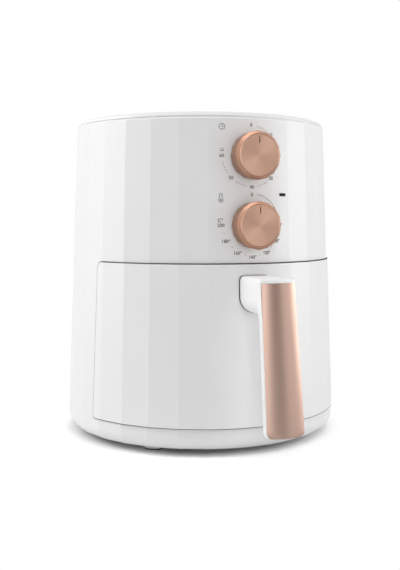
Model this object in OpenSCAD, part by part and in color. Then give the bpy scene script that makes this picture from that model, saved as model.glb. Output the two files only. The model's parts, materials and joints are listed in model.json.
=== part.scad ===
// Basket air fryer: faceted body, pull-out drawer with pan and crisper plate, two dials,
// and the heater, fans, motor and controls that it holds inside.
// Millimetres, +Z up, front towards -Y. Modules are drawn about the body's upright axis,
// and in_frame() moves them so that the origin lies under the middle of the whole object.

/* [Pan] */
// Outside width and depth of the square pan
pan_w = 196; // [188:1:206]
// Height of the pan
pan_h = 105; // [95:1:115]
// Straight length of each of the pan's sides, between its rounded corners
pan_flat = 80; // [72:1:96]
// Thickness of the pan's sheet
pan_wall = 1.2; // [1:0.1:2]
// How far the rolled rim stands out from the pan
pan_rim = 1.5; // [1:0.1:2]
// Height of the rolled rim
pan_rim_h = 3; // [2:0.1:5]
// Height of the crisper plate's top above the pan's floor
plate_lift_h = 14.3; // [11:0.1:20]
// Thickness of the crisper plate
plate_t = 1.5; // [1.2:0.1:2.5]
// Radius of the crisper plate's holes
plate_hole_r = 3.2; // [2.5:0.1:4]
// Distance between the crisper plate's holes
plate_hole_pitch = 18; // [16:0.5:24]
// Width of the silicone bumpers
bumper_w = 16; // [12:1:22]

/* [Body] */
// Room between the pan and the widest corners of the body
side_room = 36.6; // [34:0.1:44]
// How far each side leans in from the widest corners to the top edge
lean_in = 11.1; // [8:0.1:12]
// Thickness of the moulded body wall
wall = 3; // [2.4:0.1:3.6]
// Number of flat facets around the body
facet_count = 30; // [24, 30, 36]
// Radius of the tuck at the body's lower edge
tuck_r = 14; // [11:0.5:16]
// Height and depth of the bevel on the body's top edge
top_bevel = 1.2; // [0.6:0.1:1.6]
// Height of the body's lower edge above the table
foot_gap = 5.2; // [4:0.1:10]
// Width of the shelf that turns in at the body's lower edge
shelf_w = 4; // [3:0.1:6]
// Height from the timer's axis to the body's top edge
headroom = 34.1; // [32:0.1:45]

/* [Lid] */
// Open groove between the body's top edge and the lid
lid_groove = 0.6; // [0.4:0.1:1.2]
// How far the lid's edge lies inside the body's top corners
lid_inset = 1.8; // [1.4:0.1:2.4]
// Upright part of the lid's edge
lid_edge_h = 0.8; // [0.4:0.1:2]
// Width of the lid's rounded shoulder
shoulder_w = 14; // [10:0.5:20]
// Height of the lid's rounded shoulder
shoulder_h = 4.45; // [3:0.05:6]
// Rise of the lid's dome above its shoulder
dome_rise = 4.2; // [2:0.1:8]
// Thickness of the lid
lid_t = 2.4; // [2:0.1:3]
// Depth of the skirt that locates the lid in the body
skirt_h = 8; // [5:0.5:10]

/* [Drawer front] */
// Height from the body's lower edge to the drawer front's opening
drawer_lift = 20.4; // [19:0.1:26]
// Height of the drawer opening's top above the pan
drawer_over = 38.2; // [36:0.1:42]
// Distance from the body's axis to the drawer opening's side edges
drawer_edge_y = 45; // [44:0.5:50]
// Seam around the drawer front
seam = 0.9; // [0.6:0.1:1.5]
// How far the drawer front stands proud of the body
drawer_proud = 2.3; // [1:0.1:4]
// Thickness of the drawer front's skin
skin_t = 2.5; // [2:0.1:3]
// Radius of the drawer front's upper corners
corner_top_r = 6; // [4:0.5:9]
// Radius of the drawer front's lower corners
corner_low_r = 2.5; // [2:0.1:4]
// Thickness of the panel that closes the drawer front's back
panel_t = 2.5; // [2:0.1:3]
// Clearance between that panel and the air chamber behind it
panel_gap = 2.3; // [2:0.1:4]

/* [Handle] */
// Distance from the drawer front to the side edge of the cover's top end
handle_reach = 46.3; // [40:0.1:60]
// How far the handle leans out for each millimetre down
handle_slope = 0.1333; // [0.1:0.001:0.16]
// Half width of the cover at its top end
cover_half_top = 15.5; // [13:0.1:18]
// Half width of the cover at its lower end
cover_half_low = 17.5; // [15:0.1:20]
// Height of the cover's crown above its side edges
cover_crown = 4.5; // [3:0.1:6]
// Thickness of the cover
cover_t = 1.5; // [1.2:0.1:2]
// Drop from the drawer front's top to the cover's top end
cover_drop = 14.2; // [13:0.1:18]
// Height from the drawer front's lower edge to the cover's lower end
cover_rise = 5.4; // [3:0.1:12]
// Corner radius of the cover's lower end
cover_corner = 5; // [3:0.5:7]
// Thickness of the handle body's sides behind the cover
back_side = 4.4; // [3:0.1:6]
// Depth of the handle body's crowned back at its middle
back_crown = 7.5; // [6:0.1:10]
// White lip of the handle body around the cover
handle_lip = 0.6; // [0.4:0.1:1.2]
// Height of the handle body's cap above the cover
cap_h = 3.6; // [3:0.1:5]
// Half width of the neck
neck_half = 14; // [12:0.1:15]
// Height of the neck
neck_h = 32.9; // [30:0.1:38]

/* [Air chamber] */
// Clearance between the pan and the steel liner
liner_gap = 4.2; // [3.5:0.1:6]
// Thickness of the liner
liner_t = 1; // [0.8:0.1:1.5]
// Height of the rails that the pan glides on
rail_h = 5.7; // [4:0.1:8]
// Width of each rail
rail_w = 8; // [6:0.5:12]
// Distance from the middle to each rail
rail_x = 44; // [38:1:48]
// Radius of the heating element's tube
element_r = 3.25; // [3:0.05:3.6]
// Radius of the heating element's inner turn
element_in = 62; // [61:0.5:64]
// Distance between the heating element's two turns
element_pitch = 12; // [10:0.5:14]
// Radius of the wire guard's wires
wire_r = 1.1; // [0.9:0.1:1.5]
// Thickness of the insulation above the chamber
insulation_t = 3; // [2.5:0.1:5]
// Thickness of the deck that carries the motor
deck_t = 1.6; // [1.2:0.1:2.5]

/* [Fans and motor] */
// Radius of the hot air fan
hot_fan_r = 54; // [45:0.5:55]
// Height of the hot air fan's blades
hot_fan_h = 11; // [9:0.5:13]
// Radius of the cooling fan
cool_fan_r = 44; // [38:0.5:46]
// Height of the cooling fan's blades
cool_fan_h = 10; // [8:0.5:12]
// Radius of the motor's shaft
shaft_r = 3; // [2.5:0.1:4]
// Radius of the motor
motor_r = 31; // [26:0.5:34]
// Height of the motor
motor_h = 32; // [26:0.5:38]
// Half width of the bridge that carries the motor
bridge_half = 51; // [50:0.5:54]

/* [Dials] */
// Height of the temperature dial's axis above the air chamber
temp_rise = 20.7; // [19:0.1:26]
// Distance between the two dials' axes
dial_pitch = 61.1; // [58:0.1:68]
// Depth of a dial from its face to its back
dial_depth = 15.5; // [12:0.1:18]
// Gap between a dial's back and the body
dial_gap = 1.15; // [1:0.05:1.6]
// Corner radius of a dial at its front rim
dial_rim = 21.4; // [18:0.1:24]
// Corner radius of a dial at its back
dial_back = 20.5; // [17:0.1:22]
// Radius of a dial's round face
dial_face = 18.4; // [15:0.1:19]
// Depth of the slope between a dial's face and its rim
dial_slope = 2.5; // [1:0.1:4]
// Number of flats on a dial
dial_flats = 16; // [14, 16, 18, 20]
// Radius of the dials' shafts
dial_shaft_r = 3; // [2.5:0.1:3.5]
// Distance of the control bracket from the panel's inner face
bracket_gap = 9.7; // [8:0.1:12]
// Width of the timer unit
timer_w = 50; // [44:0.5:54]
// Height of the timer unit
timer_h = 44; // [38:0.5:46]
// Depth of the timer unit
timer_d = 30; // [24:0.5:34]
// Radius of the thermostat unit
thermostat_r = 16; // [13:0.5:17]
// Depth of the thermostat unit
thermostat_d = 20; // [15:0.5:24]
// Width of the lamp's window
lamp_w = 7.5; // [6:0.1:9]
// Height of the lamp's window
lamp_h = 2.7; // [2:0.1:4]
// Distance from the middle to the lamp, around the panel
lamp_angle = 14.8; // [14:0.1:16]
// Height of the lamp above the temperature dial's axis
lamp_rise = 27.4; // [25:0.1:30]

/* [Rear] */
// Half width of the rear air outlet
outlet_half = 40; // [32:0.5:46]
// How far the rear air outlet stands out at its lower end
outlet_out = 4; // [3:0.1:8]
// Radius of the rear air outlet's corners
outlet_corner = 10; // [6:0.5:14]
// Height of the slots in the rear air outlet
outlet_slot = 3; // [2:0.1:4]
// Radius of the cord hole through the gland
cord_r = 3.8; // [3:0.1:4.5]
// Height of the cord hole above the cavity floor
cord_rise = 24; // [22:0.5:32]
// Radius of the gland's flange
gland_flange = 9; // [8.5:0.1:10]

/* [Feet] */
// Radius of a foot
foot_r = 9.5; // [8:0.1:12]
// How far each foot's centre lies inside the rim of the base
foot_in = 12.5; // [12:0.1:24]
// Height of the rubber pad under a foot
pad_h = 1.2; // [0.8:0.1:2]

/* [Fits] */
// Clearance between pieces that are seated on each other
seat = 0.3; // [0.2:0.05:0.5]
// Radial clearance of a turning or sliding shaft
running = 0.05; // [0.02:0.01:0.09]

/* [Hidden] */
$fn = 64;
eps = 0.01;

// Colours of the finishes
white_gloss = "#f2f2f2";
rose_gold = "#c19e8a";
steel = "#b9bcc0";
dark_coat = "#3a3b3d";
black_plastic = "#1d1d1f";

// Angles around the body
facet = 360 / facet_count;
band_half = 1.5 * facet;
band_steps = 8;
flat_ratio = cos(facet / 2);
tuck_end = 80;
tuck_step = 20;

// The upright chain, from the table to the lid
drawer_z0 = foot_gap + drawer_lift;
floor_t = 1.5;
floor_drop = 1.6;
floor_z = drawer_z0 - floor_drop;
pan_z = floor_z + rail_h + seat;
pan_top = pan_z + pan_h;
drawer_z1 = pan_top + drawer_over;
front_wall_z = pan_top + 10;
guard_z = front_wall_z + 5;
element_z = guard_z + 10;
hot_fan_z = element_z + 10;
chamber_z = hot_fan_z + hot_fan_h + 5;
insulation_z = chamber_z + liner_t;
deck_z = insulation_z + insulation_t;
deck_top = deck_z + deck_t;
cool_fan_z = deck_top + 6.4;
bridge_t = 1.5;
bridge_z = cool_fan_z + cool_fan_h + 3;
motor_z = bridge_z + bridge_t;
temp_z = chamber_z + temp_rise;
timer_z = temp_z + dial_pitch;
body_h = timer_z + headroom;

// The body's outline
body_w = pan_w + 2 * side_room;
top_w = body_w - 2 * lean_in;
widest_z = foot_gap + tuck_r * sin(tuck_end);
function wall_r(z) = top_w / 2 + lean_in * (body_h - z) / (body_h - widest_z);
function flat_r(z) = wall_r(z) * flat_ratio;
function tuck_point(a, r, grow) =
    [widest_z - r * sin(a), wall_r(widest_z) - grow - r * (1 - cos(a))];
low_r = tuck_point(tuck_end, tuck_r, 0)[1];
shelf_r = low_r - shelf_w;
foot_at = shelf_r - foot_in;
base_t = 3;
base_top = foot_gap + base_t;

// The air chamber and what the drawer has to clear
pan_corner = (pan_w - pan_flat) / 2;
liner_in = pan_w / 2 + liner_gap;
liner_out = liner_in + liner_t;
liner_corner = pan_corner + liner_gap;
mouth_t = 2;
mouth_y = drawer_edge_y - 1;
panel_back = liner_out + panel_gap;
panel_front = panel_back + panel_t;
deck_front = 86;

// The handle
cover_top = drawer_z1 - cover_drop;
cover_low = drawer_z0 + cover_rise;
neck_top = drawer_z1 - 10.9;
face_mid = wall_r(neck_top - neck_h / 2) + drawer_proud;
function handle_y(z) = -(face_mid + handle_reach + (cover_top - z) * handle_slope);
function cover_half(z) =
    cover_half_top + (cover_half_low - cover_half_top) * (cover_top - z) / (cover_top - cover_low);
handle_screw_z = [neck_top - 10, neck_top - 23];
handle_screw_r = 2;

// The dials and what stands behind them
panel_r = wall_r(temp_z) - wall;
bracket_t = 1.2;
bracket_y = panel_r - bracket_gap;
unit_y = bracket_y - bracket_t;
bracket_half = timer_w / 2 - 1;
control_screw_z = [temp_z - thermostat_r + 2, temp_z + 2 * thermostat_r];
control_screw_x = bracket_half - 5;
control_post_r = 4;

// Reach of the whole object along Y, and the shift that centres it
outlet_z0 = guard_z - 4;
outlet_z1 = timer_z - 2;
outlet_y = flat_r(outlet_z0) + outlet_out;
cord_z = floor_z + cord_rise;
gland_out = 3;
gland_y = flat_r(cord_z) + gland_out;
rear_reach = max(flat_r(widest_z), outlet_y, gland_y);
front_reach = -handle_y(cover_low) + cover_crown;
shift_y = (front_reach - rear_reach) / 2;
module in_frame() { translate([0, shift_y, 0]) children(); }

// ---- Shared shapes ----

// Corners of one level of the body, with the smooth band at the front
corner_angles = concat(
    [for (i = [0 : band_steps]) band_half * (2 * i / band_steps - 1)],
    [for (a = [band_half + facet : facet : 360 - band_half - facet / 2]) a]
);
function level(z, r) = [for (a = corner_angles) [r * sin(a), -r * cos(a), z]];

// A closed solid through levels of points, each level anticlockwise from above
module loft(levels) {
    n = len(levels[0]);
    m = len(levels);
    polyhedron(
        points = [for (one = levels) each one],
        faces = concat(
            [[for (i = [0 : n - 1]) i]],
            [[for (i = [n - 1 : -1 : 0]) (m - 1) * n + i]],
            [for (k = [0 : m - 2]) for (i = [0 : n - 1]) let (j = (i + 1) % n)
                each [[k * n + i, (k + 1) * n + i, (k + 1) * n + j], [k * n + i, (k + 1) * n + j, k * n + j]]]
        ),
        convexity = 4
    );
}

// The plain leaning wall between two heights, moved in by a distance
module wall_solid(z0, z1, inset) {
    loft([level(z0, wall_r(z0) - inset), level(z1, wall_r(z1) - inset)]);
}

module rounded_square(half_x, half_y, r) {
    square([2 * half_x, 2 * (half_y - r)], center = true);
    square([2 * (half_x - r), 2 * half_y], center = true);
    for (x = [-1, 1], y = [-1, 1])
        translate([x * (half_x - r), y * (half_y - r)]) circle(r);
}

module rounded_block(half, r, z0, z1) {
    translate([0, 0, z0]) linear_extrude(height = z1 - z0) rounded_square(half, half, r);
}

// A box between two corners
module block(low, high) { translate(low) cube(high - low); }

// A round bar along Y
module y_bar(r, x, z, y0, y1) {
    translate([x, y0, z]) rotate([-90, 0, 0]) cylinder(r = r, h = y1 - y0);
}

// A round bar along X
module x_bar(r, y, z, x0, x1) {
    translate([x0, y, z]) rotate([0, 90, 0]) cylinder(r = r, h = x1 - x0);
}

// The drawer opening's outline in Y and Z, run across the whole width
module drawer_window(inset) {
    reach = 2 * body_w;
    edge = drawer_edge_y + inset;
    z0 = drawer_z0 + inset;
    z1 = drawer_z1 - inset;
    rotate([90, 0, 90]) linear_extrude(height = 2 * body_w, center = true) {
        translate([-reach, z0]) square([reach - edge - corner_top_r, z1 - z0]);
        translate([-reach, z0]) square([reach - edge - corner_low_r, z1 - z0 - corner_top_r]);
        translate([-reach, z0 + corner_low_r])
            square([reach - edge, z1 - z0 - corner_low_r - corner_top_r]);
        translate([-edge - corner_top_r, z1 - corner_top_r]) circle(corner_top_r);
        translate([-edge - corner_low_r, z0 + corner_low_r]) circle(corner_low_r);
    }
}

// A round tube along points, with its ring carried from point to point without twist
function unit(v) = v / norm(v);
function heading(p, i) = unit(p[min(i + 1, len(p) - 1)] - p[max(i - 1, 0)]);
function carried(p, i, side) =
    let (t = heading(p, i), s = unit(side - (side * t) * t))
    i == len(p) - 1 ? [s] : concat([s], carried(p, i + 1, s));
module tube(path, r, sides) {
    first = heading(path, 0);
    side = abs(first[2]) > 0.7 ? [1, 0, 0] : [0, 0, 1];
    sides_of = carried(path, 0, side);
    loft([for (i = [0 : len(path) - 1])
        let (s = sides_of[i], u = cross(heading(path, i), s))
        [for (k = [0 : sides - 1]) path[i] + r * (cos(360 * k / sides) * s + sin(360 * k / sides) * u)]]);
}

// A screw whose head stands on z = 0, with its shank pointing down
module screw(head_r, head_h, shank_r, length) {
    difference() {
        union() {
            cylinder(r = head_r, h = head_h);
            translate([0, 0, -length]) cylinder(r = shank_r, h = length + eps);
        }
        for (a = [0, 90]) rotate(a)
            translate([0, 0, head_h]) cube([head_r * 1.3, head_r * 0.25, head_h], center = true);
    }
}

// Moves something from the front of the body to an angle around it
module around(a) { rotate([0, 0, a]) children(); }

// ---- Body ----

outer_levels = concat(
    [for (a = [tuck_end : -tuck_step : 0]) let (p = tuck_point(a, tuck_r, 0)) level(p[0], p[1])],
    [level(body_h - top_bevel, wall_r(body_h - top_bevel)), level(body_h, wall_r(body_h) - top_bevel)]
);
inner_levels = concat(
    [level(foot_gap - 1, shelf_r), level(base_top, shelf_r)],
    [for (a = [tuck_end - tuck_step : -tuck_step : 0])
        let (p = tuck_point(a, tuck_r - wall, wall)) level(p[0], p[1])],
    [level(body_h + 1, wall_r(body_h + 1) - wall)]
);

module lamp_window(grow, r0, r1) {
    half = lamp_w / 2 + grow;
    r = lamp_h / 2 + grow;
    around(lamp_angle) translate([0, -r1, temp_z + lamp_rise]) rotate([-90, 0, 0])
        linear_extrude(height = r1 - r0) {
            square([2 * (half - r), 2 * r], center = true);
            for (x = [-1, 1]) translate([x * (half - r), 0]) circle(r);
        }
}

module outlet_shape(inset, y0, y1) {
    mid = (outlet_z0 + outlet_z1) / 2;
    translate([0, y1, mid]) rotate([90, 0, 0]) linear_extrude(height = y1 - y0)
        rounded_square(outlet_half - inset, (outlet_z1 - outlet_z0) / 2 - inset, outlet_corner - inset);
}

duct_half = 22;
duct_z0 = guard_z;
duct_z1 = chamber_z - 8;
vent_half = 30;
vent_z0 = deck_top + 8;
vent_z1 = outlet_z1 - 10;

module control_posts() {
    for (x = [-1, 1], z = control_screw_z)
        y_bar(control_post_r, x * control_screw_x, z, -wall_r(temp_z) + wall / 2, -bracket_y);
}

module housing() {
    color(white_gloss) difference() {
        loft(outer_levels);
        difference() {
            loft(inner_levels);
            control_posts();
        }
        drawer_window(0);
        for (z = [timer_z, temp_z])
            y_bar(dial_shaft_r + 1.5, 0, z, -wall_r(z) - 5, -wall_r(z) + wall + 2);
        for (x = [-1, 1], z = control_screw_z)
            y_bar(1.4, x * control_screw_x, z, -bracket_y - 6, -bracket_y + 1);
        lamp_window(0.1, panel_r - 4, wall_r(temp_z) + 2);
        block([-duct_half, 0, duct_z0], [duct_half, body_w, duct_z1]);
        block([-vent_half, 0, vent_z0], [vent_half, body_w, vent_z1]);
        y_bar(gland_flange - 2.3 + 0.1, 0, cord_z, flat_r(cord_z) - wall - 3, flat_r(cord_z) + 3);
    }
}

lid_r = wall_r(body_h) - lid_inset;
lid_z = body_h + lid_groove;
shoulder_z = lid_z + lid_edge_h;
dome_z = shoulder_z + shoulder_h;
dome_base = lid_r - shoulder_w;
skirt_r = (wall_r(body_h) - wall) * flat_ratio - seat;
lid_steps = 8;
function dome_height(r, top, edge) = top + dome_rise * (1 - pow(r / edge, 2));

module top_cover() {
    color(white_gloss) rotate_extrude($fn = 96) polygon(concat(
        [[0, dome_height(0, dome_z, dome_base) - lid_t]],
        [for (i = [1 : 4]) let (r = (skirt_r - 2) * i / 4)
            [r, dome_height(min(r, dome_base), dome_z, dome_base) - lid_t - max(0, r - dome_base) * 0.12]],
        [[skirt_r - 2, body_h - skirt_h], [skirt_r, body_h - skirt_h], [skirt_r, lid_z]],
        [[lid_r, lid_z], [lid_r, shoulder_z]],
        [for (i = [1 : lid_steps]) let (t = 90 * i / lid_steps)
            [dome_base + shoulder_w * cos(t), shoulder_z + shoulder_h * sin(t)]],
        [for (i = [3 : -1 : 0]) let (r = dome_base * i / 4) [r, dome_height(r, dome_z, dome_base)]]
    ));
}

floor_post_in = 32;
floor_post = pan_w / 2 - floor_post_in;
floor_post_at = [for (x = [-1, 1], y = [-1, 1]) [x * floor_post, y * floor_post]];
base_screw_r = 1.9;
base_screw_l = 11;

module base_plate() {
    color(white_gloss) difference() {
        union() {
            translate([0, 0, foot_gap]) cylinder(r = shelf_r * flat_ratio - seat, h = base_t);
            for (p = floor_post_at)
                translate([p[0], p[1], foot_gap]) cylinder(r = 5, h = floor_z - floor_t - foot_gap);
        }
        for (p = floor_post_at)
            translate([p[0], p[1], base_top]) cylinder(r = base_screw_r + 0.1, h = floor_z);
        for (a = [0 : 30 : 330]) rotate(a)
            translate([22, -2, foot_gap - 1]) cube([28, 4, base_t + 2]);
        for (a = [45 : 90 : 315]) rotate(a)
            translate([foot_at, 0, foot_gap - 1]) cylinder(r = 2.6, h = base_t + 2);
    }
}

module foot(x, y) {
    s = foot_at * sqrt(0.5);
    color(white_gloss) translate([x * s, y * s, 0]) difference() {
        union() {
            translate([0, 0, pad_h]) cylinder(r = foot_r, h = foot_gap - pad_h);
            translate([0, 0, foot_gap - eps]) cylinder(r = 2.5, h = base_t);
        }
        translate([0, 0, pad_h - eps]) cylinder(r = 4.1, h = 2);
    }
}

module foot_pad(x, y) {
    s = foot_at * sqrt(0.5);
    color(black_plastic) translate([x * s, y * s, 0]) {
        cylinder(r = foot_r - 0.4, h = pad_h);
        translate([0, 0, pad_h - eps]) cylinder(r = 4, h = 1.9);
    }
}

module cavity_floor() {
    color(white_gloss) difference() {
        translate([0, 0, floor_z - floor_t])
            cylinder(r = (wall_r(floor_z) - wall) * flat_ratio - seat, h = floor_t);
        for (p = floor_post_at)
            translate([p[0], p[1], floor_z - floor_t - 1]) cylinder(r = base_screw_r + 0.2, h = floor_t + 2);
    }
}

module base_screws() {
    color(steel) for (p = floor_post_at)
        translate([p[0], p[1], floor_z]) screw(3.6, 1.6, base_screw_r, base_screw_l);
}

// ---- Air chamber ----

module chamber_liner() {
    color(steel) difference() {
        rounded_block(liner_out, liner_corner + liner_t, floor_z, chamber_z);
        rounded_block(liner_in, liner_corner, floor_z - 1, chamber_z + 1);
        block([-body_w, -body_w, floor_z - 1], [body_w, -mouth_y, front_wall_z]);
        block([-duct_half, 0, duct_z0], [duct_half, body_w, duct_z1]);
    }
}

ceiling_z = drawer_z1 + 1.8;
ceiling_t = 1.6;
switch_x = liner_out + 7.8;
switch_up = 72.5;
switch_z = pan_z + switch_up;
plunger_r = 2;

module mouth_frame() {
    color(black_plastic) difference() {
        intersection() {
            union() {
                block([-body_w, -mouth_y, floor_z], [body_w, -mouth_y + mouth_t, ceiling_z + ceiling_t]);
                block([-body_w, -body_w, ceiling_z], [body_w, -mouth_y + mouth_t, ceiling_z + ceiling_t]);
            }
            wall_solid(floor_z, ceiling_z + ceiling_t, wall + seat);
        }
        rounded_block(liner_out + 0.2, liner_corner + liner_t + 0.2, floor_z - 1, body_h);
        y_bar(plunger_r + 0.6, switch_x, switch_z, -mouth_y - 1, -mouth_y + mouth_t + 1);
    }
}

module rail(side) {
    color(black_plastic) difference() {
        block([side * rail_x - rail_w / 2, -mouth_y, floor_z],
              [side * rail_x + rail_w / 2, liner_in - 18, floor_z + rail_h]);
        translate([side * rail_x, -mouth_y, floor_z + rail_h]) rotate([45, 0, 0])
            cube([rail_w + 2, 4, 4], center = true);
    }
}

riser_r = element_r + 0.35;
element_out = element_in + element_pitch;
riser_gap = 1.2;

module top_holes(z0, z1) {
    translate([0, 0, z0]) cylinder(r = shaft_r + 2, h = z1 - z0);
    for (r = [element_in, element_out])
        translate([0, r, z0]) cylinder(r = riser_r + riser_gap, h = z1 - z0);
}

bulb_y = liner_in - 17;
bulb_half = 30;
capillary_r = 1;

module chamber_top() {
    color(steel) difference() {
        rounded_block(liner_out, liner_corner + liner_t, chamber_z, chamber_z + liner_t);
        top_holes(chamber_z - 1, chamber_z + liner_t + 1);
        translate([bulb_half, -bulb_y, chamber_z - 1]) cylinder(r = capillary_r + 0.8, h = liner_t + 2);
    }
}

module insulation_pad() {
    color("#e6e1d2") difference() {
        rounded_block(liner_in - 2, liner_corner - 2, insulation_z, deck_z);
        block([-body_w, -body_w, insulation_z - 1], [body_w, -deck_front + 6, deck_z + 1]);
        top_holes(insulation_z - 1, deck_z + 1);
    }
}

module motor_deck() {
    color(steel) difference() {
        translate([0, 0, deck_z]) cylinder(r = (wall_r(deck_top) - wall) * flat_ratio - seat, h = deck_t);
        block([-body_w, -body_w, deck_z - 1], [body_w, -deck_front + 6, deck_top + 1]);
        top_holes(deck_z - 1, deck_top + 1);
    }
}

bend_r = 8;
bend_steps = 4;
turn_start = 90;
turn_end = 430;
turn_step = 10;
element_tail = deck_top + 12;

// The element's centre line: down one terminal, round the outer turn, back round the inner
// one and up the other terminal. A terminal stands on x = 0 behind the start of its turn.
function turn_point(r, a) = [r * cos(a), r * sin(a), element_z];
function outer_end(b) = let (m = element_in + element_pitch / 2, h = element_pitch / 2)
    [m * cos(turn_end) + h * cos(turn_end + b), m * sin(turn_end) + h * sin(turn_end + b), element_z];
function terminal_bend(r, k) = let (b = 90 * k / bend_steps)
    [bend_r * (sin(b) - 1), r, element_z + bend_r * (1 - cos(b))];
element_path = concat(
    [[0, element_out, element_tail]],
    [for (k = [bend_steps : -1 : 1]) terminal_bend(element_out, k)],
    [for (a = [turn_start + turn_step : turn_step : turn_end]) turn_point(element_out, a)],
    [for (b = [30 : 30 : 150]) outer_end(b)],
    [for (a = [turn_end : -turn_step : turn_start + turn_step]) turn_point(element_in, a)],
    [for (k = [1 : bend_steps]) terminal_bend(element_in, k)],
    [[0, element_in, element_tail]]
);

module heating_element() {
    color("#5f6063") tube(element_path, element_r, 12);
}

clip_w = 8;

module element_clips() {
    r = element_out + element_r + 1.5;
    foot_z = element_z - element_r - seat;
    color(steel) for (a = [35, 145, 215, 325]) rotate(a) {
        block([r, -clip_w / 2, foot_z - 1.5], [r + 1.5, clip_w / 2, chamber_z]);
        block([element_in - element_r - 2, -clip_w / 2, foot_z - 1.5], [r + 1.5, clip_w / 2, foot_z]);
        block([r, -clip_w / 2, chamber_z - 1.5], [r + 9, clip_w / 2, chamber_z]);
    }
}

guard_rings = 4;

module wire_guard() {
    step = (liner_in - 6) / guard_rings;
    reach = liner_in - seat;
    color(steel) {
        for (i = [1 : guard_rings]) translate([0, 0, guard_z]) rotate_extrude()
            translate([step * i, 0]) circle(wire_r, $fn = 24);
        block([-reach, -wire_r, guard_z - 1.8 * wire_r], [reach, wire_r, guard_z - 0.3 * wire_r]);
        block([-wire_r, -reach, guard_z - 1.8 * wire_r], [wire_r, reach, guard_z - 0.3 * wire_r]);
    }
}

// ---- Fans and motor ----

module fan(r, h, hub_r, blades, z, plate_low) {
    plate_t = 1;
    plate_z = plate_low ? z : z + h - plate_t;
    difference() {
        union() {
            translate([0, 0, z]) cylinder(r = hub_r, h = h);
            translate([0, 0, plate_z]) cylinder(r = r, h = plate_t);
            for (a = [0 : 360 / blades : 359]) rotate(a)
                translate([hub_r + 3, -0.5, z]) cube([r - hub_r - 5, 1, h]);
        }
        translate([0, 0, z - 1]) cylinder(r = shaft_r + running, h = h + 2);
    }
}

module hot_fan() { color(steel) fan(hot_fan_r, hot_fan_h, 8, 12, hot_fan_z, false); }

module cooling_fan() { color(black_plastic) fan(cool_fan_r, cool_fan_h, 7, 9, cool_fan_z, true); }

shaft_top = motor_z + motor_h + 5;

nut_h = 3;
nut_r = 5.5;

module motor_shaft() {
    color(steel) {
        translate([0, 0, hot_fan_z - nut_h - 1]) cylinder(r = shaft_r, h = shaft_top - hot_fan_z + nut_h + 1);
        translate([0, 0, hot_fan_z - nut_h - seat]) cylinder(r = nut_r, h = nut_h, $fn = 6);
    }
}

module motor_bridge() {
    half_y = 20;
    foot_l = 10;
    color(steel) difference() {
        union() {
            block([-bridge_half, -half_y, bridge_z], [bridge_half, half_y, bridge_z + bridge_t]);
            for (side = [0, 1]) mirror([side, 0, 0]) {
                block([bridge_half - bridge_t, -half_y, deck_top], [bridge_half, half_y, bridge_z + eps]);
                block([bridge_half - eps, -half_y, deck_top], [bridge_half + foot_l, half_y, deck_top + bridge_t]);
            }
        }
        translate([0, 0, bridge_z - 1]) cylinder(r = shaft_r + 3, h = bridge_t + 2);
        for (x = [-1, 1], y = [-1, 1])
            translate([x * motor_screw_at, y * motor_screw_at * 0.5, bridge_z - 1]) cylinder(r = 2.1, h = 4);
    }
}

motor_screw_at = motor_r * 0.7;

module motor() {
    core_h = motor_h * 0.5;
    color("#8d8f92") difference() {
        union() {
            translate([0, 0, motor_z]) cylinder(r = motor_r, h = motor_h * 0.25);
            translate([0, 0, motor_z + motor_h * 0.25]) cylinder(r = motor_r - 3, h = core_h);
            translate([0, 0, motor_z + motor_h * 0.75]) cylinder(r = motor_r, h = motor_h * 0.25 - 4);
            translate([0, 0, motor_z + motor_h - 5]) cylinder(r = 9, h = 5);
        }
        translate([0, 0, motor_z - 1]) cylinder(r = shaft_r + running, h = motor_h + 2);
        for (x = [-1, 1], y = [-1, 1])
            translate([x * motor_screw_at, y * motor_screw_at * 0.5, motor_z - 1]) cylinder(r = 2.1, h = 7);
    }
}

module motor_screws() {
    color(steel) for (x = [-1, 1], y = [-1, 1])
        translate([x * motor_screw_at, y * motor_screw_at * 0.5, bridge_z]) mirror([0, 0, 1])
            screw(3.5, 1.8, 2, bridge_t + 5);
}

// ---- Rear ----

module rear_outlet() {
    wall_t = 2;
    slots = floor((outlet_z1 - outlet_z0 - 2 * outlet_corner) / (2 * outlet_slot));
    color(white_gloss) difference() {
        outlet_shape(0, 0, outlet_y);
        outlet_shape(wall_t, -1, outlet_y - wall_t);
        wall_solid(widest_z, body_h, -0.1);
        for (i = [0 : slots - 1])
            let (slot_z = outlet_z0 + outlet_corner + i * 2 * outlet_slot)
                block([-outlet_half + outlet_corner, outlet_y - wall_t - 1, slot_z],
                      [outlet_half - outlet_corner, outlet_y + 1, slot_z + outlet_slot]);
    }
}

module exhaust_duct() {
    t = 1.2;
    y0 = liner_out;
    y1 = (wall_r(duct_z1) - wall) * flat_ratio - seat;
    color(steel) difference() {
        block([-duct_half - t, y0, duct_z0 - t], [duct_half + t, y1, duct_z1 + t]);
        block([-duct_half, y0 - 1, duct_z0], [duct_half, y1 + 1, duct_z1]);
        difference() {
            block([-body_w, 0, duct_z0 - 5], [body_w, body_w, duct_z1 + 5]);
            cylinder(r = y1, h = body_h);
        }
    }
}

gland_in = flat_r(cord_z) - wall - 8;

module cord_gland() {
    color(black_plastic) difference() {
        union() {
            difference() {
                y_bar(gland_flange, 0, cord_z, flat_r(cord_z) - 2, gland_y);
                wall_solid(widest_z, body_h, 0);
            }
            y_bar(gland_flange - 2.3, 0, cord_z, gland_in, gland_y - 0.5);
        }
        y_bar(cord_r, 0, cord_z, gland_in - 1, gland_y + 1);
    }
}

block_h = 14;

module terminal_block() {
    y0 = liner_out + 3;
    color("#e9e6dc") difference() {
        block([-17, y0, floor_z], [17, y0 + 13, floor_z + block_h]);
        for (x = [-11, 0, 11]) {
            translate([x, y0 + 6.5, floor_z + 4]) cylinder(r = 2.4, h = block_h);
            y_bar(1.8, x, floor_z + 5, y0 - 1, y0 + 14);
        }
    }
}

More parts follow.
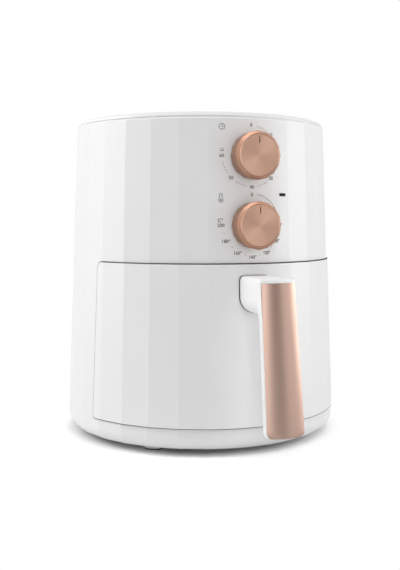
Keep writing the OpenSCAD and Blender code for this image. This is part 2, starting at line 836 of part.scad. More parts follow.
tab_gap = seat;
plunger_front = drawer_edge_y + seam - tab_gap;
switch_y0 = mouth_y - mouth_t;
overtravel = 1.5;

module switch_body() {
    color(black_plastic) difference() {
        block([switch_x - 5, -switch_y0, switch_z - 8], [switch_x + 5, -switch_y0 + 16, switch_z + 8]);
        y_bar(plunger_r + running, switch_x, switch_z, -switch_y0 - 1, -switch_y0 + 11);
    }
}

module switch_plunger() {
    color("#c8322c") y_bar(plunger_r, switch_x, switch_z, -plunger_front, -switch_y0 + 11 - overtravel - 0.5);
}

// ---- Controls ----

module control_bracket() {
    color(steel) difference() {
        block([-bracket_half, -bracket_y, temp_z - thermostat_r - 2],
              [bracket_half, -unit_y, timer_z + timer_h / 2 + 1]);
        for (z = [timer_z, temp_z]) y_bar(dial_shaft_r + 2, 0, z, -bracket_y - 1, -unit_y + 1);
        for (x = [-1, 1], z = control_screw_z)
            y_bar(1.6, x * control_screw_x, z, -bracket_y - 1, -unit_y + 1);
    }
}

module control_screws() {
    color(steel) for (x = [-1, 1], z = control_screw_z)
        translate([x * control_screw_x, -unit_y, z]) rotate([-90, 0, 0]) screw(2.8, 1.6, 1.3, 6);
}

shaft_in = 14;

module timer_unit() {
    color("#d9d2bd") difference() {
        union() {
            block([-timer_w / 2, -unit_y, timer_z - timer_h / 2],
                  [timer_w / 2, -unit_y + timer_d, timer_z + timer_h / 2]);
            for (x = [-12, 12])
                block([x - 3, -unit_y + timer_d - eps, timer_z - 18],
                      [x + 3, -unit_y + timer_d + 8, timer_z - 17.2]);
        }
        y_bar(dial_shaft_r + running, 0, timer_z, -unit_y - 1, -unit_y + shaft_in);
    }
}

module timer_bell() {
    y0 = -unit_y + timer_d;
    color("#c9b37a") difference() {
        union() {
            translate([0, y0 + 3, timer_z + 3]) rotate([-90, 0, 0]) cylinder(r = 15, h = 9);
            translate([0, y0, timer_z + 3]) rotate([-90, 0, 0]) cylinder(r = 2.5, h = 12);
        }
        translate([0, y0 + 2, timer_z + 3]) rotate([-90, 0, 0]) difference() {
            cylinder(r = 14, h = 9);
            cylinder(r = 2.5, h = 9);
        }
    }
}

module thermostat_unit() {
    color("#d8d8d2") difference() {
        union() {
            y_bar(thermostat_r, 0, temp_z, -unit_y, -unit_y + thermostat_d * 0.6);
            y_bar(thermostat_r - 3, 0, temp_z, -unit_y, -unit_y + thermostat_d);
        }
        y_bar(dial_shaft_r + running, 0, temp_z, -unit_y - 1, -unit_y + shaft_in);
    }
}

// The sensing bulb under the chamber top, and the thin tube from it to the thermostat
module thermostat_bulb() {
    rise_z = temp_z - thermostat_r + 8;
    back_y = -unit_y + thermostat_d;
    bend = capillary_r * 1.3;
    color("#b5784f") {
        x_bar(3, -bulb_y, chamber_z - 3.2, -bulb_half, bulb_half - 2);
        x_bar(capillary_r, -bulb_y, chamber_z - 3.2, bulb_half - 3, bulb_half);
        translate([bulb_half, -bulb_y, chamber_z - 3.2]) sphere(bend);
        translate([bulb_half, -bulb_y, chamber_z - 3.2])
            cylinder(r = capillary_r, h = rise_z - chamber_z + 3.2);
        translate([bulb_half, -bulb_y, rise_z]) sphere(bend);
        x_bar(capillary_r, -bulb_y, rise_z, 6, bulb_half);
        translate([6, -bulb_y, rise_z]) sphere(bend);
        y_bar(capillary_r, 6, rise_z, min(-bulb_y, back_y + 0.1), max(-bulb_y, back_y + 0.1));
    }
}

module dial_shaft(z) {
    face = wall_r(z) + dial_gap + dial_depth;
    color(steel) y_bar(dial_shaft_r, 0, z, -face + 5, -unit_y + shaft_in - 1);
}

// Corners of a dial at one depth, turned so that its flats face the front, and a corner is up
function dial_level(y, r, z) =
    [for (i = [0 : dial_flats - 1]) let (a = 360 * i / dial_flats) [r * cos(a), y, z + r * sin(a)]];

module dial_body(z) {
    face = wall_r(z) + dial_gap + dial_depth;
    recess = 1.2;
    color(rose_gold) difference() {
        loft([dial_level(-face, dial_face + 0.35, z), dial_level(-face + dial_slope, dial_rim, z),
              dial_level(-face + dial_depth, dial_back, z)]);
        y_bar(dial_face, 0, z, -face - 1, -face + recess);
        y_bar(dial_shaft_r + running, 0, z, -face + 5 - seat, -face + dial_depth + 1);
        difference() {
            y_bar(dial_back - 3.5, 0, z, -face + 5, -face + dial_depth + 1);
            y_bar(dial_shaft_r + 3, 0, z, -face + 4, -face + dial_depth + 2);
        }
    }
}

module dial_face_disc(z) {
    face = wall_r(z) + dial_gap + dial_depth;
    recess = 1.2;
    line_w = 1;
    line_len = 5.8;
    color(rose_gold) difference() {
        translate([0, -face + recess - 0.1, z]) rotate([90, 0, 0]) rotate_extrude($fn = 96) polygon([
            [0, 0], [dial_face - 0.1, 0], [dial_face - 0.1, recess - 0.1],
            [dial_face - 0.7, recess + 0.3], [dial_face - 1.2, recess + 0.1], [0, recess + 0.1]
        ]);
        block([-line_w / 2, -face - 1, z + dial_face - 2 - line_len],
              [line_w / 2, -face + 0.3, z + dial_face - 2]);
    }
}

lamp_r = wall_r(temp_z + lamp_rise);

module lamp_lens() {
    color(black_plastic) lamp_window(0, lamp_r - wall - 4, lamp_r + 0.15);
}

module lamp_holder() {
    r1 = lamp_r * flat_ratio - wall - 1;
    color("#cfcfca") difference() {
        around(lamp_angle) block([-5, -r1, temp_z + lamp_rise - 4], [5, -r1 + 14, temp_z + lamp_rise + 4]);
        lamp_window(0.15, lamp_r - wall - 4.3, lamp_r + 1);
    }
}

module thermal_fuse() {
    y = element_in - 14;
    color("#e9e6dc") {
        block([-16, y - 4, deck_top], [-4, y + 4, deck_top + 1]);
        x_bar(2, y, deck_top + 2.9, -15, -5);
        x_bar(0.5, y, deck_top + 2.9, -19, -1);
    }
}

// ---- Drawer ----

panel_reach = (wall_r(drawer_z1) - skin_t) * flat_ratio;
panel_half = sqrt(pow(panel_reach, 2) - pow(panel_front - drawer_proud, 2)) - 1.5;
post_x = panel_half - 16;
post_low = 32;
post_high = 28;
post_z = [drawer_z0 + post_low, drawer_z1 - post_high];
bracket_screw_x = 9;
bracket_screw_z = (pan_z + pan_top) / 2 + 8;
small_pilot = 1.4;

module drawer_posts() {
    for (x = [-1, 1], z = post_z)
        y_bar(4, x * post_x, z, -body_w / 2, -panel_front);
}

module drawer_front() {
    low = drawer_z0 + seam + skin_t;
    high = drawer_z1 - seam - skin_t;
    color(white_gloss) difference() {
        intersection() {
            translate([0, -drawer_proud, 0]) wall_solid(drawer_z0 - 2, drawer_z1 + 2, 0);
            drawer_window(seam);
        }
        intersection() {
            translate([0, -drawer_proud, 0]) wall_solid(drawer_z0 - 3, drawer_z1 + 3, skin_t);
            union() {
                difference() {
                    block([-body_w, -body_w, low], [body_w, 0, high]);
                    drawer_posts();
                    block([liner_out + 3, -drawer_edge_y - seam - 3.5, switch_z - 7],
                          [body_w, 1, switch_z + 7]);
                }
                block([-body_w, -panel_back, drawer_z0 - 1], [body_w, 0, low + eps]);
                block([-body_w, -panel_back, high - eps], [body_w, 0, drawer_z1 + 1]);
            }
        }
        for (z = handle_screw_z) y_bar(handle_screw_r + 0.3, 0, z, -body_w, -panel_back);
        for (x = [-1, 1], z = post_z) y_bar(small_pilot, x * post_x, z, -panel_front - 8, -panel_front + 1);
    }
}

module drawer_back_panel() {
    low = drawer_z0 + seam + skin_t + seat;
    high = drawer_z1 - seam - skin_t - seat;
    color(white_gloss) difference() {
        block([-panel_half, -panel_front, low], [panel_half, -panel_back, high]);
        for (x = [-1, 1], z = post_z) y_bar(1.6, x * post_x, z, -panel_front - 1, -panel_back + 1);
        for (x = [-1, 1])
            y_bar(small_pilot, x * bracket_screw_x, bracket_screw_z, -panel_front - 1, -panel_back + 1);
    }
}

module drawer_screws() {
    color(steel) {
        for (x = [-1, 1], z = post_z)
            translate([x * post_x, -panel_back, z]) rotate([-90, 0, 0]) screw(2.8, 1.4, 1.3, panel_t + 7);
        for (x = [-1, 1])
            translate([x * bracket_screw_x, -panel_back + hat_t, bracket_screw_z])
                rotate([-90, 0, 0]) screw(2.8, 1.4, 1.3, hat_t + panel_t + 3);
    }
}

hat_t = 1.5;
hat_half = 18;
hat_wing = 14;
hat_low = 30;
hat_high = 12;

module pan_bracket() {
    z0 = pan_z + hat_low;
    z1 = pan_top - hat_high;
    pan_face = -pan_w / 2;
    color(steel) difference() {
        translate([0, 0, z0]) linear_extrude(height = z1 - z0) {
            translate([-hat_half, -panel_back]) square([2 * hat_half, hat_t]);
            for (x = [-1, 1]) {
                translate([x * hat_half - hat_t / 2, -panel_back]) square([hat_t, panel_back + pan_face]);
                translate([min(x * hat_half, x * (hat_half + hat_wing)), pan_face - hat_t])
                    square([hat_wing, hat_t]);
            }
        }
        for (x = [-1, 1])
            y_bar(1.6, x * bracket_screw_x, bracket_screw_z, -panel_back - 1, -panel_back + hat_t + 1);
    }
}

module pan() {
    half = pan_w / 2;
    floor_in = 1.5 * pan_wall;
    color(dark_coat) difference() {
        union() {
            rounded_block(half - 4, pan_corner - 4, pan_z, pan_z + 4);
            rounded_block(half, pan_corner, pan_z + 2, pan_top);
            rounded_block(half + pan_rim, pan_corner + pan_rim, pan_top - pan_rim_h, pan_top);
        }
        rounded_block(half - pan_wall, pan_corner - pan_wall, pan_z + 2 + floor_in, pan_top + 1);
        rounded_block(half - 4 - pan_wall, pan_corner - 4 - pan_wall, pan_z + floor_in, pan_top);
    }
}

plate_top = pan_z + plate_lift_h;
plate_half = pan_w / 2 - pan_wall - 3.5;
plate_corner = pan_corner - pan_wall - 3.5;
bumper_lip = 2;

notch_d = 4;

module crisper_plate() {
    n = floor((plate_half - 12) / plate_hole_pitch);
    reach = plate_half - 8;
    color(dark_coat) difference() {
        rounded_block(plate_half, plate_corner, plate_top - plate_t, plate_top);
        for (i = [-n : n], j = [-n : n])
            let (x = i * plate_hole_pitch, y = j * plate_hole_pitch,
                 cx = max(0, abs(x) - plate_half + plate_corner),
                 cy = max(0, abs(y) - plate_half + plate_corner))
            if (norm([cx, cy]) < plate_corner - 8 && max(abs(x), abs(y)) < reach)
                translate([x, y, plate_top - plate_t - 1]) cylinder(r = plate_hole_r, h = plate_t + 2);
        for (a = [0 : 90 : 270]) rotate(a)
            block([plate_half - notch_d - 0.1, -bumper_w / 2 + 2, plate_top - plate_t - 1],
                  [plate_half + 1, bumper_w / 2 - 2, plate_top + 1]);
    }
}

module plate_bumpers() {
    out = pan_w / 2 - pan_wall - seat;
    low = pan_z + 1.5 * pan_wall + 2 + seat;
    color("#2c2c2e") for (a = [0 : 90 : 270]) rotate(a) {
        block([plate_half + 0.1, -bumper_w / 2, low], [out, bumper_w / 2, plate_top + bumper_lip]);
        block([plate_half - notch_d, -bumper_w / 2 + 2.1, plate_top - plate_t],
              [plate_half + 0.2, bumper_w / 2 - 2.1, plate_top]);
        block([plate_half - notch_d - 3, -bumper_w / 2, low],
              [plate_half + 0.2, bumper_w / 2, plate_top - plate_t - 0.1]);
        block([plate_half - notch_d - 1, -bumper_w / 2, plate_top + 0.1],
              [plate_half + 0.2, bumper_w / 2, plate_top + bumper_lip]);
    }
}

// ---- Handle ----

arc_steps = 12;
// Points of a crown from one side to the other, by its half width and its height
function crown(half, height) =
    [for (i = [0 : arc_steps]) let (t = -1 + 2 * i / arc_steps)
        [t * half, height * (1 - t * t)]];
function reversed(list) = [for (i = [len(list) - 1 : -1 : 0]) list[i]];
// Half width near a rounded end
function end_half(half, rise, r) = rise >= r ? half : half - r + sqrt(max(0, r * r - pow(r - rise, 2)));
function at_height(points, z) = [for (p = points) [p[0], handle_y(z) + p[1], z]];

cover_rises = [0, 0.5, 1.5, 3, cover_corner];
// A hollow cover: its outer form, bulging to the front, less the inner form behind it
module handle_cover() {
    edge = 1.2;
    inner_edge = 0.6 * edge;
    rim = 0.8 * cover_t;
    function pushed(points, y) = [for (p = points) [p[0], p[1] + y]];
    function outer(half) = concat(
        pushed(crown(half, -cover_crown + edge), -edge),
        [[half - rim, -inner_edge], [-half + rim, -inner_edge]]
    );
    function inner(half) = concat(
        pushed(crown(half - cover_t, -cover_crown + cover_t + inner_edge), -inner_edge),
        [[half - cover_t, 1], [-half + cover_t, 1]]
    );
    function low_half(rise) = end_half(cover_half(cover_low + rise), rise, cover_corner);
    color(rose_gold) difference() {
        loft(concat(
            [for (d = cover_rises) at_height(outer(low_half(d)), cover_low + d)],
            [at_height(outer(cover_half(cover_top)), cover_top)]
        ));
        loft(concat(
            [at_height(inner(low_half(0)), cover_low - 1)],
            [for (d = cover_rises) at_height(inner(low_half(d)), cover_low + d)],
            [at_height(inner(cover_half(cover_top)), cover_top + 1)]
        ));
    }
}

module handle_paddle() {
    core_gap = 0.15;
    low = cover_low - handle_lip;
    function back(half) =
        [for (p = reversed(crown(half, back_crown - back_side))) [p[0], p[1] + back_side]];
    function front(half) = crown(half, -cover_crown + cover_t + 0.7 + core_gap);
    function full_front(half) = [for (p = crown(half, -cover_crown + 1.2)) [p[0], p[1] - 1.2]];
    function section(half, inner) = concat(front(inner), back(half));
    function cap(half, shrink) = concat(
        [for (p = full_front(half - shrink)) [p[0], p[1] + shrink]],
        [for (p = back(half - shrink)) [p[0], p[1] - shrink]]
    );
    loft(concat(
        [for (d = cover_rises) let (z = low + d)
            at_height(section(end_half(cover_half(z) + handle_lip, d, cover_corner),
                              end_half(cover_half(z) - 2, d, cover_corner)), z)],
        [let (z = cover_top + 0.15) at_height(section(cover_half(z) + handle_lip, cover_half(z) - 2), z)]
    ));
    loft([for (s = [[0.15, 0], [cap_h - 1.6, 0], [cap_h - 0.7, 0.35], [cap_h, 1.3]])
        let (z = cover_top + s[0]) at_height(cap(cover_half(z) + handle_lip, s[1]), z)]);
}

// The neck's outline across the handle: flat above, fully round below
module neck_outline(half) {
    low = neck_top - neck_h + neck_half;
    translate([-half, low]) square([2 * half, neck_top - 2 - low]);
    translate([-half + 2, low]) square([2 * half - 4, neck_top - low]);
    for (x = [-1, 1]) translate([x * (half - 2), neck_top - 2]) circle(2, $fn = 32);
    translate([0, low]) circle(half);
}

module handle_body() {
    neck_end = -handle_y(neck_top - 8) - 3;
    color(white_gloss) difference() {
        union() {
            difference() {
                translate([0, -face_mid + 6, 0]) rotate([90, 0, 0])
                    linear_extrude(height = neck_end - face_mid + 6) neck_outline(neck_half);
                translate([0, -drawer_proud, 0]) wall_solid(drawer_z0, drawer_z1, -0.02);
            }
            handle_paddle();
        }
        for (z = handle_screw_z)
            y_bar(handle_screw_r + 0.05, 0, z, -face_mid - 20, -face_mid + 8);
    }
}

module handle_screws() {
    color(steel) for (z = handle_screw_z)
        translate([0, -wall_r(z) - drawer_proud + skin_t + seat, z])
            rotate([-90, 0, 0]) screw(3.8, 2, handle_screw_r, 18);
}

// ---- Pieces in place ----

in_frame() housing();
in_frame() top_cover();
in_frame() base_plate();
in_frame() foot(-1, -1);  // foot_front_left
in_frame() foot(1, -1);  // foot_front_right
in_frame() foot(-1, 1);  // foot_rear_left
in_frame() foot(1, 1);  // foot_rear_right
in_frame() foot_pad(-1, -1);  // pad_front_left
in_frame() foot_pad(1, -1);  // pad_front_right
in_frame() foot_pad(-1, 1);  // pad_rear_left
in_frame() foot_pad(1, 1);  // pad_rear_right
in_frame() cavity_floor();
in_frame() base_screws();
in_frame() chamber_liner();
in_frame() mouth_frame();
in_frame() rail(-1);  // rail_left
in_frame() rail(1);  // rail_right
in_frame() chamber_top();
in_frame() insulation_pad();
in_frame() motor_deck();
in_frame() heating_element();
in_frame() element_clips();
in_frame() wire_guard();
in_frame() motor_bridge();
in_frame() motor();
in_frame() motor_screws();
in_frame() rear_outlet();
in_frame() exhaust_duct();
in_frame() cord_gland();
in_frame() terminal_block();
in_frame() switch_body();
in_frame() switch_plunger();
in_frame() control_bracket();
in_frame() control_screws();
in_frame() timer_unit();
in_frame() timer_bell();
in_frame() dial_shaft(timer_z);  // timer_shaft
in_frame() dial_body(timer_z);  // timer_knob
in_frame() dial_face_disc(timer_z);  // timer_knob_face
in_frame() thermostat_unit();
in_frame() thermostat_bulb();
in_frame() dial_shaft(temp_z);  // temperature_shaft
in_frame() dial_body(temp_z);  // temperature_knob
in_frame() dial_face_disc(temp_z);  // temperature_knob_face
in_frame() lamp_lens();
in_frame() lamp_holder();
in_frame() thermal_fuse();
in_frame() hot_fan();
in_frame() cooling_fan();
in_frame() motor_shaft();
in_frame() drawer_front();
in_frame() drawer_back_panel();
in_frame() pan();
in_frame() pan_bracket();
in_frame() drawer_screws();
in_frame() handle_body();
in_frame() handle_cover();
in_frame() handle_screws();
in_frame() crisper_plate();
in_frame() plate_bumpers();
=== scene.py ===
"""A white basket air fryer with rose-gold dials and grip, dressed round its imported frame."""

import json
import math

import bmesh
import bpy
from mathutils import Matrix, Vector


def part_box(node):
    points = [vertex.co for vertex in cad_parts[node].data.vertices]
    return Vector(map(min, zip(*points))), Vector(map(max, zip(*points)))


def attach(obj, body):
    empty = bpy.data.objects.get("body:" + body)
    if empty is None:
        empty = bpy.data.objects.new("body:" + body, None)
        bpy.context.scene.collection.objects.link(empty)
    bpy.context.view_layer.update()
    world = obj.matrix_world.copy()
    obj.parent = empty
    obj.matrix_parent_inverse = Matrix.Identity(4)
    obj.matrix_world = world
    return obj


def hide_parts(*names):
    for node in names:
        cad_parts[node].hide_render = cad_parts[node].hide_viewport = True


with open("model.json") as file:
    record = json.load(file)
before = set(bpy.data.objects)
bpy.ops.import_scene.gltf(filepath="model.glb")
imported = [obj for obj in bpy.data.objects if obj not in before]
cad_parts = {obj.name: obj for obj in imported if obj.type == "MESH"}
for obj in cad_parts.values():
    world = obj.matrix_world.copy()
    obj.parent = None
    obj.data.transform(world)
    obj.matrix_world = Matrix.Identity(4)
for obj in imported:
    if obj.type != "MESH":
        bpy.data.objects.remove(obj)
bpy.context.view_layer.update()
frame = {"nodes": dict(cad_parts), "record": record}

MM = 0.001
bodies = frame["record"]["behaviour"]["bodies"]
body_of_node = {node: body for body, nodes in bodies.items() for node in nodes}
slot_of_node = {part["node"]: part["material_slot"] for part in frame["record"]["subparts"]}

# ---- Places and sizes taken from the frame ----


def middle(node):
    """The centre of a node's box."""
    low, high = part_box(node)
    return (Vector(low) + Vector(high)) / 2


AXIS_Y = middle("top_cover").y
TIMER_Z = middle("timer_knob").z
TEMPERATURE_Z = middle("temperature_knob").z
BODY_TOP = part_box("housing")[1][2]
COVER_LOW, COVER_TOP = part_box("handle_cover")[0][2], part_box("handle_cover")[1][2]

# ---- The body's own dimensions ----

FACET = math.radians(12)
WALL_RADIUS_TOP = 123.5 * MM
# How far the wall has moved out by its widest ring, low down.
LEAN = 11.1 * MM
WIDEST_Z = 18.987 * MM
DRAWER_PROUD = 2.3 * MM
# Below the widest ring the wall tucks in on an arc. The frame has a ring every TUCK_STEP degrees.
TUCK_RADIUS = 14 * MM
TUCK_END = 80
TUCK_STEP = 20
TUCK_FINE_STEP = 5
SKIN_DEPTH = 1 * MM

# ---- Camera ----

CAMERA_PLACE = (-0.32735, -0.80633, 0.217)
CAMERA_TURN = (math.radians(85.355), 0, math.radians(-21.31))
CAMERA_LENS = 55.43
SENSOR_WIDTH = 36


def make_camera():
    """A camera before the fryer, a little to its left and above its middle."""
    data = bpy.data.cameras.new("camera")
    data.lens = CAMERA_LENS
    data.sensor_width = SENSOR_WIDTH
    data.sensor_fit = "AUTO"
    camera = bpy.data.objects.new("camera", data)
    camera.location = CAMERA_PLACE
    camera.rotation_euler = CAMERA_TURN
    bpy.context.collection.objects.link(camera)
    bpy.context.scene.camera = camera


make_camera()

# ---- Node helpers ----


def place(tree, kind, inputs=None, **settings):
    """Adds a shader node, with its settings and its inputs as values or as sockets to join."""
    node = tree.nodes.new(kind)
    for name, value in settings.items():
        setattr(node, name, value)
    for name, value in (inputs or {}).items():
        if isinstance(value, bpy.types.NodeSocket):
            tree.links.new(value, node.inputs[name])
        else:
            node.inputs[name].default_value = value
    return node


def new_group(name, inputs, outputs):
    """A shader group with float or vector inputs, and float outputs, and its two end nodes."""
    group = bpy.data.node_groups.new(name, "ShaderNodeTree")
    for label, kind, value in inputs:
        socket = group.interface.new_socket(label, in_out="INPUT", socket_type=kind)
        if value is not None:
            socket.default_value = value
    for label in outputs:
        group.interface.new_socket(label, in_out="OUTPUT", socket_type="NodeSocketFloat")
    return group, group.nodes.new("NodeGroupInput"), group.nodes.new("NodeGroupOutput")


def maths(tree, operation, first, second):
    """One step of arithmetic on values or sockets."""
    return place(tree, "ShaderNodeMath", {0: first, 1: second}, operation=operation).outputs[0]


# ---- Shared effects ----

CLOUD_SCALE = 22.0
SHEET_CLOUD_SCALE = 35.0
# Scratches run along X, which is drawn out by this share.
SCRATCH_STRETCH = (0.02, 1.0, 1.0)
FLECK_SIZE = 0.16


def make_moulded_skin():
    """The faint ripple of a moulded skin, and slow clouds over it."""
    group, start, end = new_group(
        "moulded_skin",
        [("Vector", "NodeSocketVector", None), ("Grain", "NodeSocketFloat", 900.0)],
        ["Height", "Clouds"],
    )
    grain = place(group, "ShaderNodeTexNoise", {
        "Vector": start.outputs["Vector"], "Scale": start.outputs["Grain"], "Detail": 3.0})
    clouds = place(group, "ShaderNodeTexNoise", {
        "Vector": start.outputs["Vector"], "Scale": CLOUD_SCALE, "Detail": 2.0})
    group.links.new(grain.outputs["Fac"], end.inputs["Height"])
    group.links.new(clouds.outputs["Fac"], end.inputs["Clouds"])
    return group


def make_spun_rings():
    """Fine rings round a Y axis, as a lathe tool leaves them."""
    group, start, end = new_group(
        "spun_rings",
        [("Vector", "NodeSocketVector", None), ("Pitch", "NodeSocketFloat", 0.0004)],
        ["Height", "Tone"],
    )
    flat = place(group, "ShaderNodeVectorMath", {
        0: start.outputs["Vector"], 1: (1.0, 0.0, 1.0)}, operation="MULTIPLY")
    radius = place(group, "ShaderNodeVectorMath", {0: flat.outputs[0]}, operation="LENGTH")
    count = maths(group, "DIVIDE", radius.outputs["Value"], start.outputs["Pitch"])
    line = place(group, "ShaderNodeCombineXYZ", {"X": count})
    rings = place(group, "ShaderNodeTexNoise", {
        "Vector": line.outputs[0], "Scale": 1.0, "Detail": 2.0, "Roughness": 0.6})
    group.links.new(rings.outputs["Fac"], end.inputs["Height"])
    group.links.new(rings.outputs["Fac"], end.inputs["Tone"])
    return group


def make_brushed_lines():
    """Long fine scratches along X."""
    group, start, end = new_group(
        "brushed_lines",
        [("Vector", "NodeSocketVector", None), ("Fineness", "NodeSocketFloat", 2500.0)],
        ["Height", "Tone"],
    )
    drawn = place(group, "ShaderNodeVectorMath", {
        0: start.outputs["Vector"], 1: SCRATCH_STRETCH}, operation="MULTIPLY")
    lines = place(group, "ShaderNodeTexNoise", {
        "Vector": drawn.outputs[0], "Scale": start.outputs["Fineness"], "Detail": 2.0})
    group.links.new(lines.outputs["Fac"], end.inputs["Height"])
    clouds = place(group, "ShaderNodeTexNoise", {
        "Vector": start.outputs["Vector"], "Scale": SHEET_CLOUD_SCALE, "Detail": 3.0})
    group.links.new(clouds.outputs["Fac"], end.inputs["Tone"])
    return group


def make_speckle():
    """Small pale flecks in a dark coating."""
    group, start, end = new_group(
        "speckle",
        [("Vector", "NodeSocketVector", None), ("Scale", "NodeSocketFloat", 700.0)],
        ["Flecks", "Height"],
    )
    cells = place(group, "ShaderNodeTexVoronoi", {
        "Vector": start.outputs["Vector"], "Scale": start.outputs["Scale"]})
    flecks = maths(group, "LESS_THAN", cells.outputs["Distance"], FLECK_SIZE)
    group.links.new(flecks, end.inputs["Flecks"])
    group.links.new(cells.outputs["Distance"], end.inputs["Height"])
    return group


MOULDED_SKIN = make_moulded_skin()
SPUN_RINGS = make_spun_rings()
BRUSHED_LINES = make_brushed_lines()
SPECKLE = make_speckle()

# ---- Materials ----

# How far roughness moves either way from a material's own.
MOULDING_SPREAD = 0.05
METAL_SPREAD = 0.08
COATING_SMOOTHER, COATING_ROUGHER = 0.06, 0.08
METAL_TINT = 0.88
METAL_DEPTH = 0.01 * MM
SCRATCH_FINENESS = 2500.0
BUMP_STRENGTH = 0.5
COATING_DEPTH = 0.02 * MM
COATING_BUMPS = 0.4
FLECK_LIGHT = 3.2
SPUN_STRETCH = 0.75
SPUN_TURN = 0.125
SPUN_PITCH = 0.28 * MM
SPUN_DEPTH = 0.012 * MM
SPUN_BUMPS = 0.6
SPUN_TINTS = (0.9, 1.08)
SPUN_ROUGHNESS = (0.34, 0.5)


def srgb(red, green, blue):
    """A colour from 0 to 255 in screen values, as the shader wants it."""
    def linear(value):
        value /= 255
        return value / 12.92 if value <= 0.04045 else ((value + 0.055) / 1.055) ** 2.4
    return (linear(red), linear(green), linear(blue), 1.0)


def shaded(colour, factor):
    """A colour made darker or lighter by a factor."""
    return tuple(min(1.0, part * factor) for part in colour[:3]) + (1.0,)


def start_material(name, **values):
    """A material, its tree, its Principled shader and Object coordinates."""
    material = bpy.data.materials.new(name)
    material.use_nodes = True
    tree = material.node_tree
    shader = tree.nodes["Principled BSDF"]
    for label, value in values.items():
        shader.inputs[label.replace("_", " ")].default_value = value
    coordinates = place(tree, "ShaderNodeTexCoord")
    return material, tree, shader, coordinates.outputs["Object"]


def effect(tree, group, vector, **values):
    """A shared effect in a material, with its own values."""
    node = tree.nodes.new("ShaderNodeGroup")
    node.node_tree = group
    tree.links.new(vector, node.inputs["Vector"])
    for label, value in values.items():
        node.inputs[label].default_value = value
    return node.outputs


def vary_colour(tree, shader, mask, low, high):
    """Moves the base colour between two by a mask."""
    mix = place(tree, "ShaderNodeMix", {0: mask, 6: low, 7: high}, data_type="RGBA")
    tree.links.new(mix.outputs[2], shader.inputs["Base Color"])


def vary_roughness(tree, shader, mask, low, high):
    """Moves the roughness between two values by a mask."""
    spread = place(tree, "ShaderNodeMapRange", {"Value": mask, "To Min": low, "To Max": high})
    tree.links.new(spread.outputs["Result"], shader.inputs["Roughness"])


def raise_bumps(tree, shader, height, depth, strength):
    """Bumps of a depth, from a height between 0 and 1."""
    bump = place(tree, "ShaderNodeBump", {"Height": height, "Distance": depth, "Strength": strength})
    tree.links.new(bump.outputs["Normal"], shader.inputs["Normal"])


def moulding(name, colour, rough, grain=900.0, depth=0.02 * MM, tint=0.97, **values):
    """A moulded plastic or rubber: a faint ripple, and slow changes of tone and gloss."""
    material, tree, shader, vector = start_material(name, **values)
    skin = effect(tree, MOULDED_SKIN, vector, Grain=grain)
    vary_colour(tree, shader, skin["Clouds"], shaded(colour, tint), colour)
    vary_roughness(tree, shader, skin["Clouds"], rough - MOULDING_SPREAD, rough + MOULDING_SPREAD)
    raise_bumps(tree, shader, skin["Height"], depth, BUMP_STRENGTH)
    return material


def metal(name, colour, rough):
    """A brushed or rolled metal."""
    material, tree, shader, vector = start_material(name, Metallic=1.0)
    lines = effect(tree, BRUSHED_LINES, vector, Fineness=SCRATCH_FINENESS)
    vary_colour(tree, shader, lines["Tone"], shaded(colour, METAL_TINT), colour)
    vary_roughness(tree, shader, lines["Height"], rough - METAL_SPREAD, rough + METAL_SPREAD)
    raise_bumps(tree, shader, lines["Height"], METAL_DEPTH, BUMP_STRENGTH)
    return material


def spun_face(name, colour, centre_z):
    """A spun disc: fine rings round its own centre."""
    material, tree, shader, vector = start_material(
        name, Metallic=1.0, Anisotropic=SPUN_STRETCH, Anisotropic_Rotation=SPUN_TURN)
    centred = place(tree, "ShaderNodeMapping", {"Vector": vector, "Location": (0, 0, -centre_z)})
    rings = effect(tree, SPUN_RINGS, centred.outputs[0], Pitch=SPUN_PITCH)
    vary_colour(tree, shader, rings["Tone"], *(shaded(colour, tint) for tint in SPUN_TINTS))
    vary_roughness(tree, shader, rings["Tone"], *SPUN_ROUGHNESS)
    raise_bumps(tree, shader, rings["Height"], SPUN_DEPTH, SPUN_BUMPS)
    tangent = place(tree, "ShaderNodeTangent", direction_type="RADIAL", axis="Y")
    tree.links.new(tangent.outputs[0], shader.inputs["Tangent"])
    return material


def coating(name, colour, rough):
    """A dark non-stick coating with small flecks."""
    material, tree, shader, vector = start_material(name, Metallic=0.0)
    flecks = effect(tree, SPECKLE, vector)
    vary_colour(tree, shader, flecks["Flecks"], colour, shaded(colour, FLECK_LIGHT))
    vary_roughness(tree, shader, flecks["Height"], rough - COATING_SMOOTHER, rough + COATING_ROUGHER)
    raise_bumps(tree, shader, flecks["Height"], COATING_DEPTH, COATING_BUMPS)
    return material


# Each row of MATERIALS is a slot or one part's own look: its name, colour and roughness.
WHITE = (0.86, 0.86, 0.862, 1.0)
GRIP_WHITE = (0.95, 0.95, 0.952, 1.0)
ROSE = srgb(184, 148, 129)
# The rose_gold slot's colour: the plating's rose, darker than ROSE as painted shade for the dials'
# shaded flats.
ROSE_PAINTED_DARKER = srgb(170, 131, 110)
SATIN_ROSE = srgb(171, 144, 132)

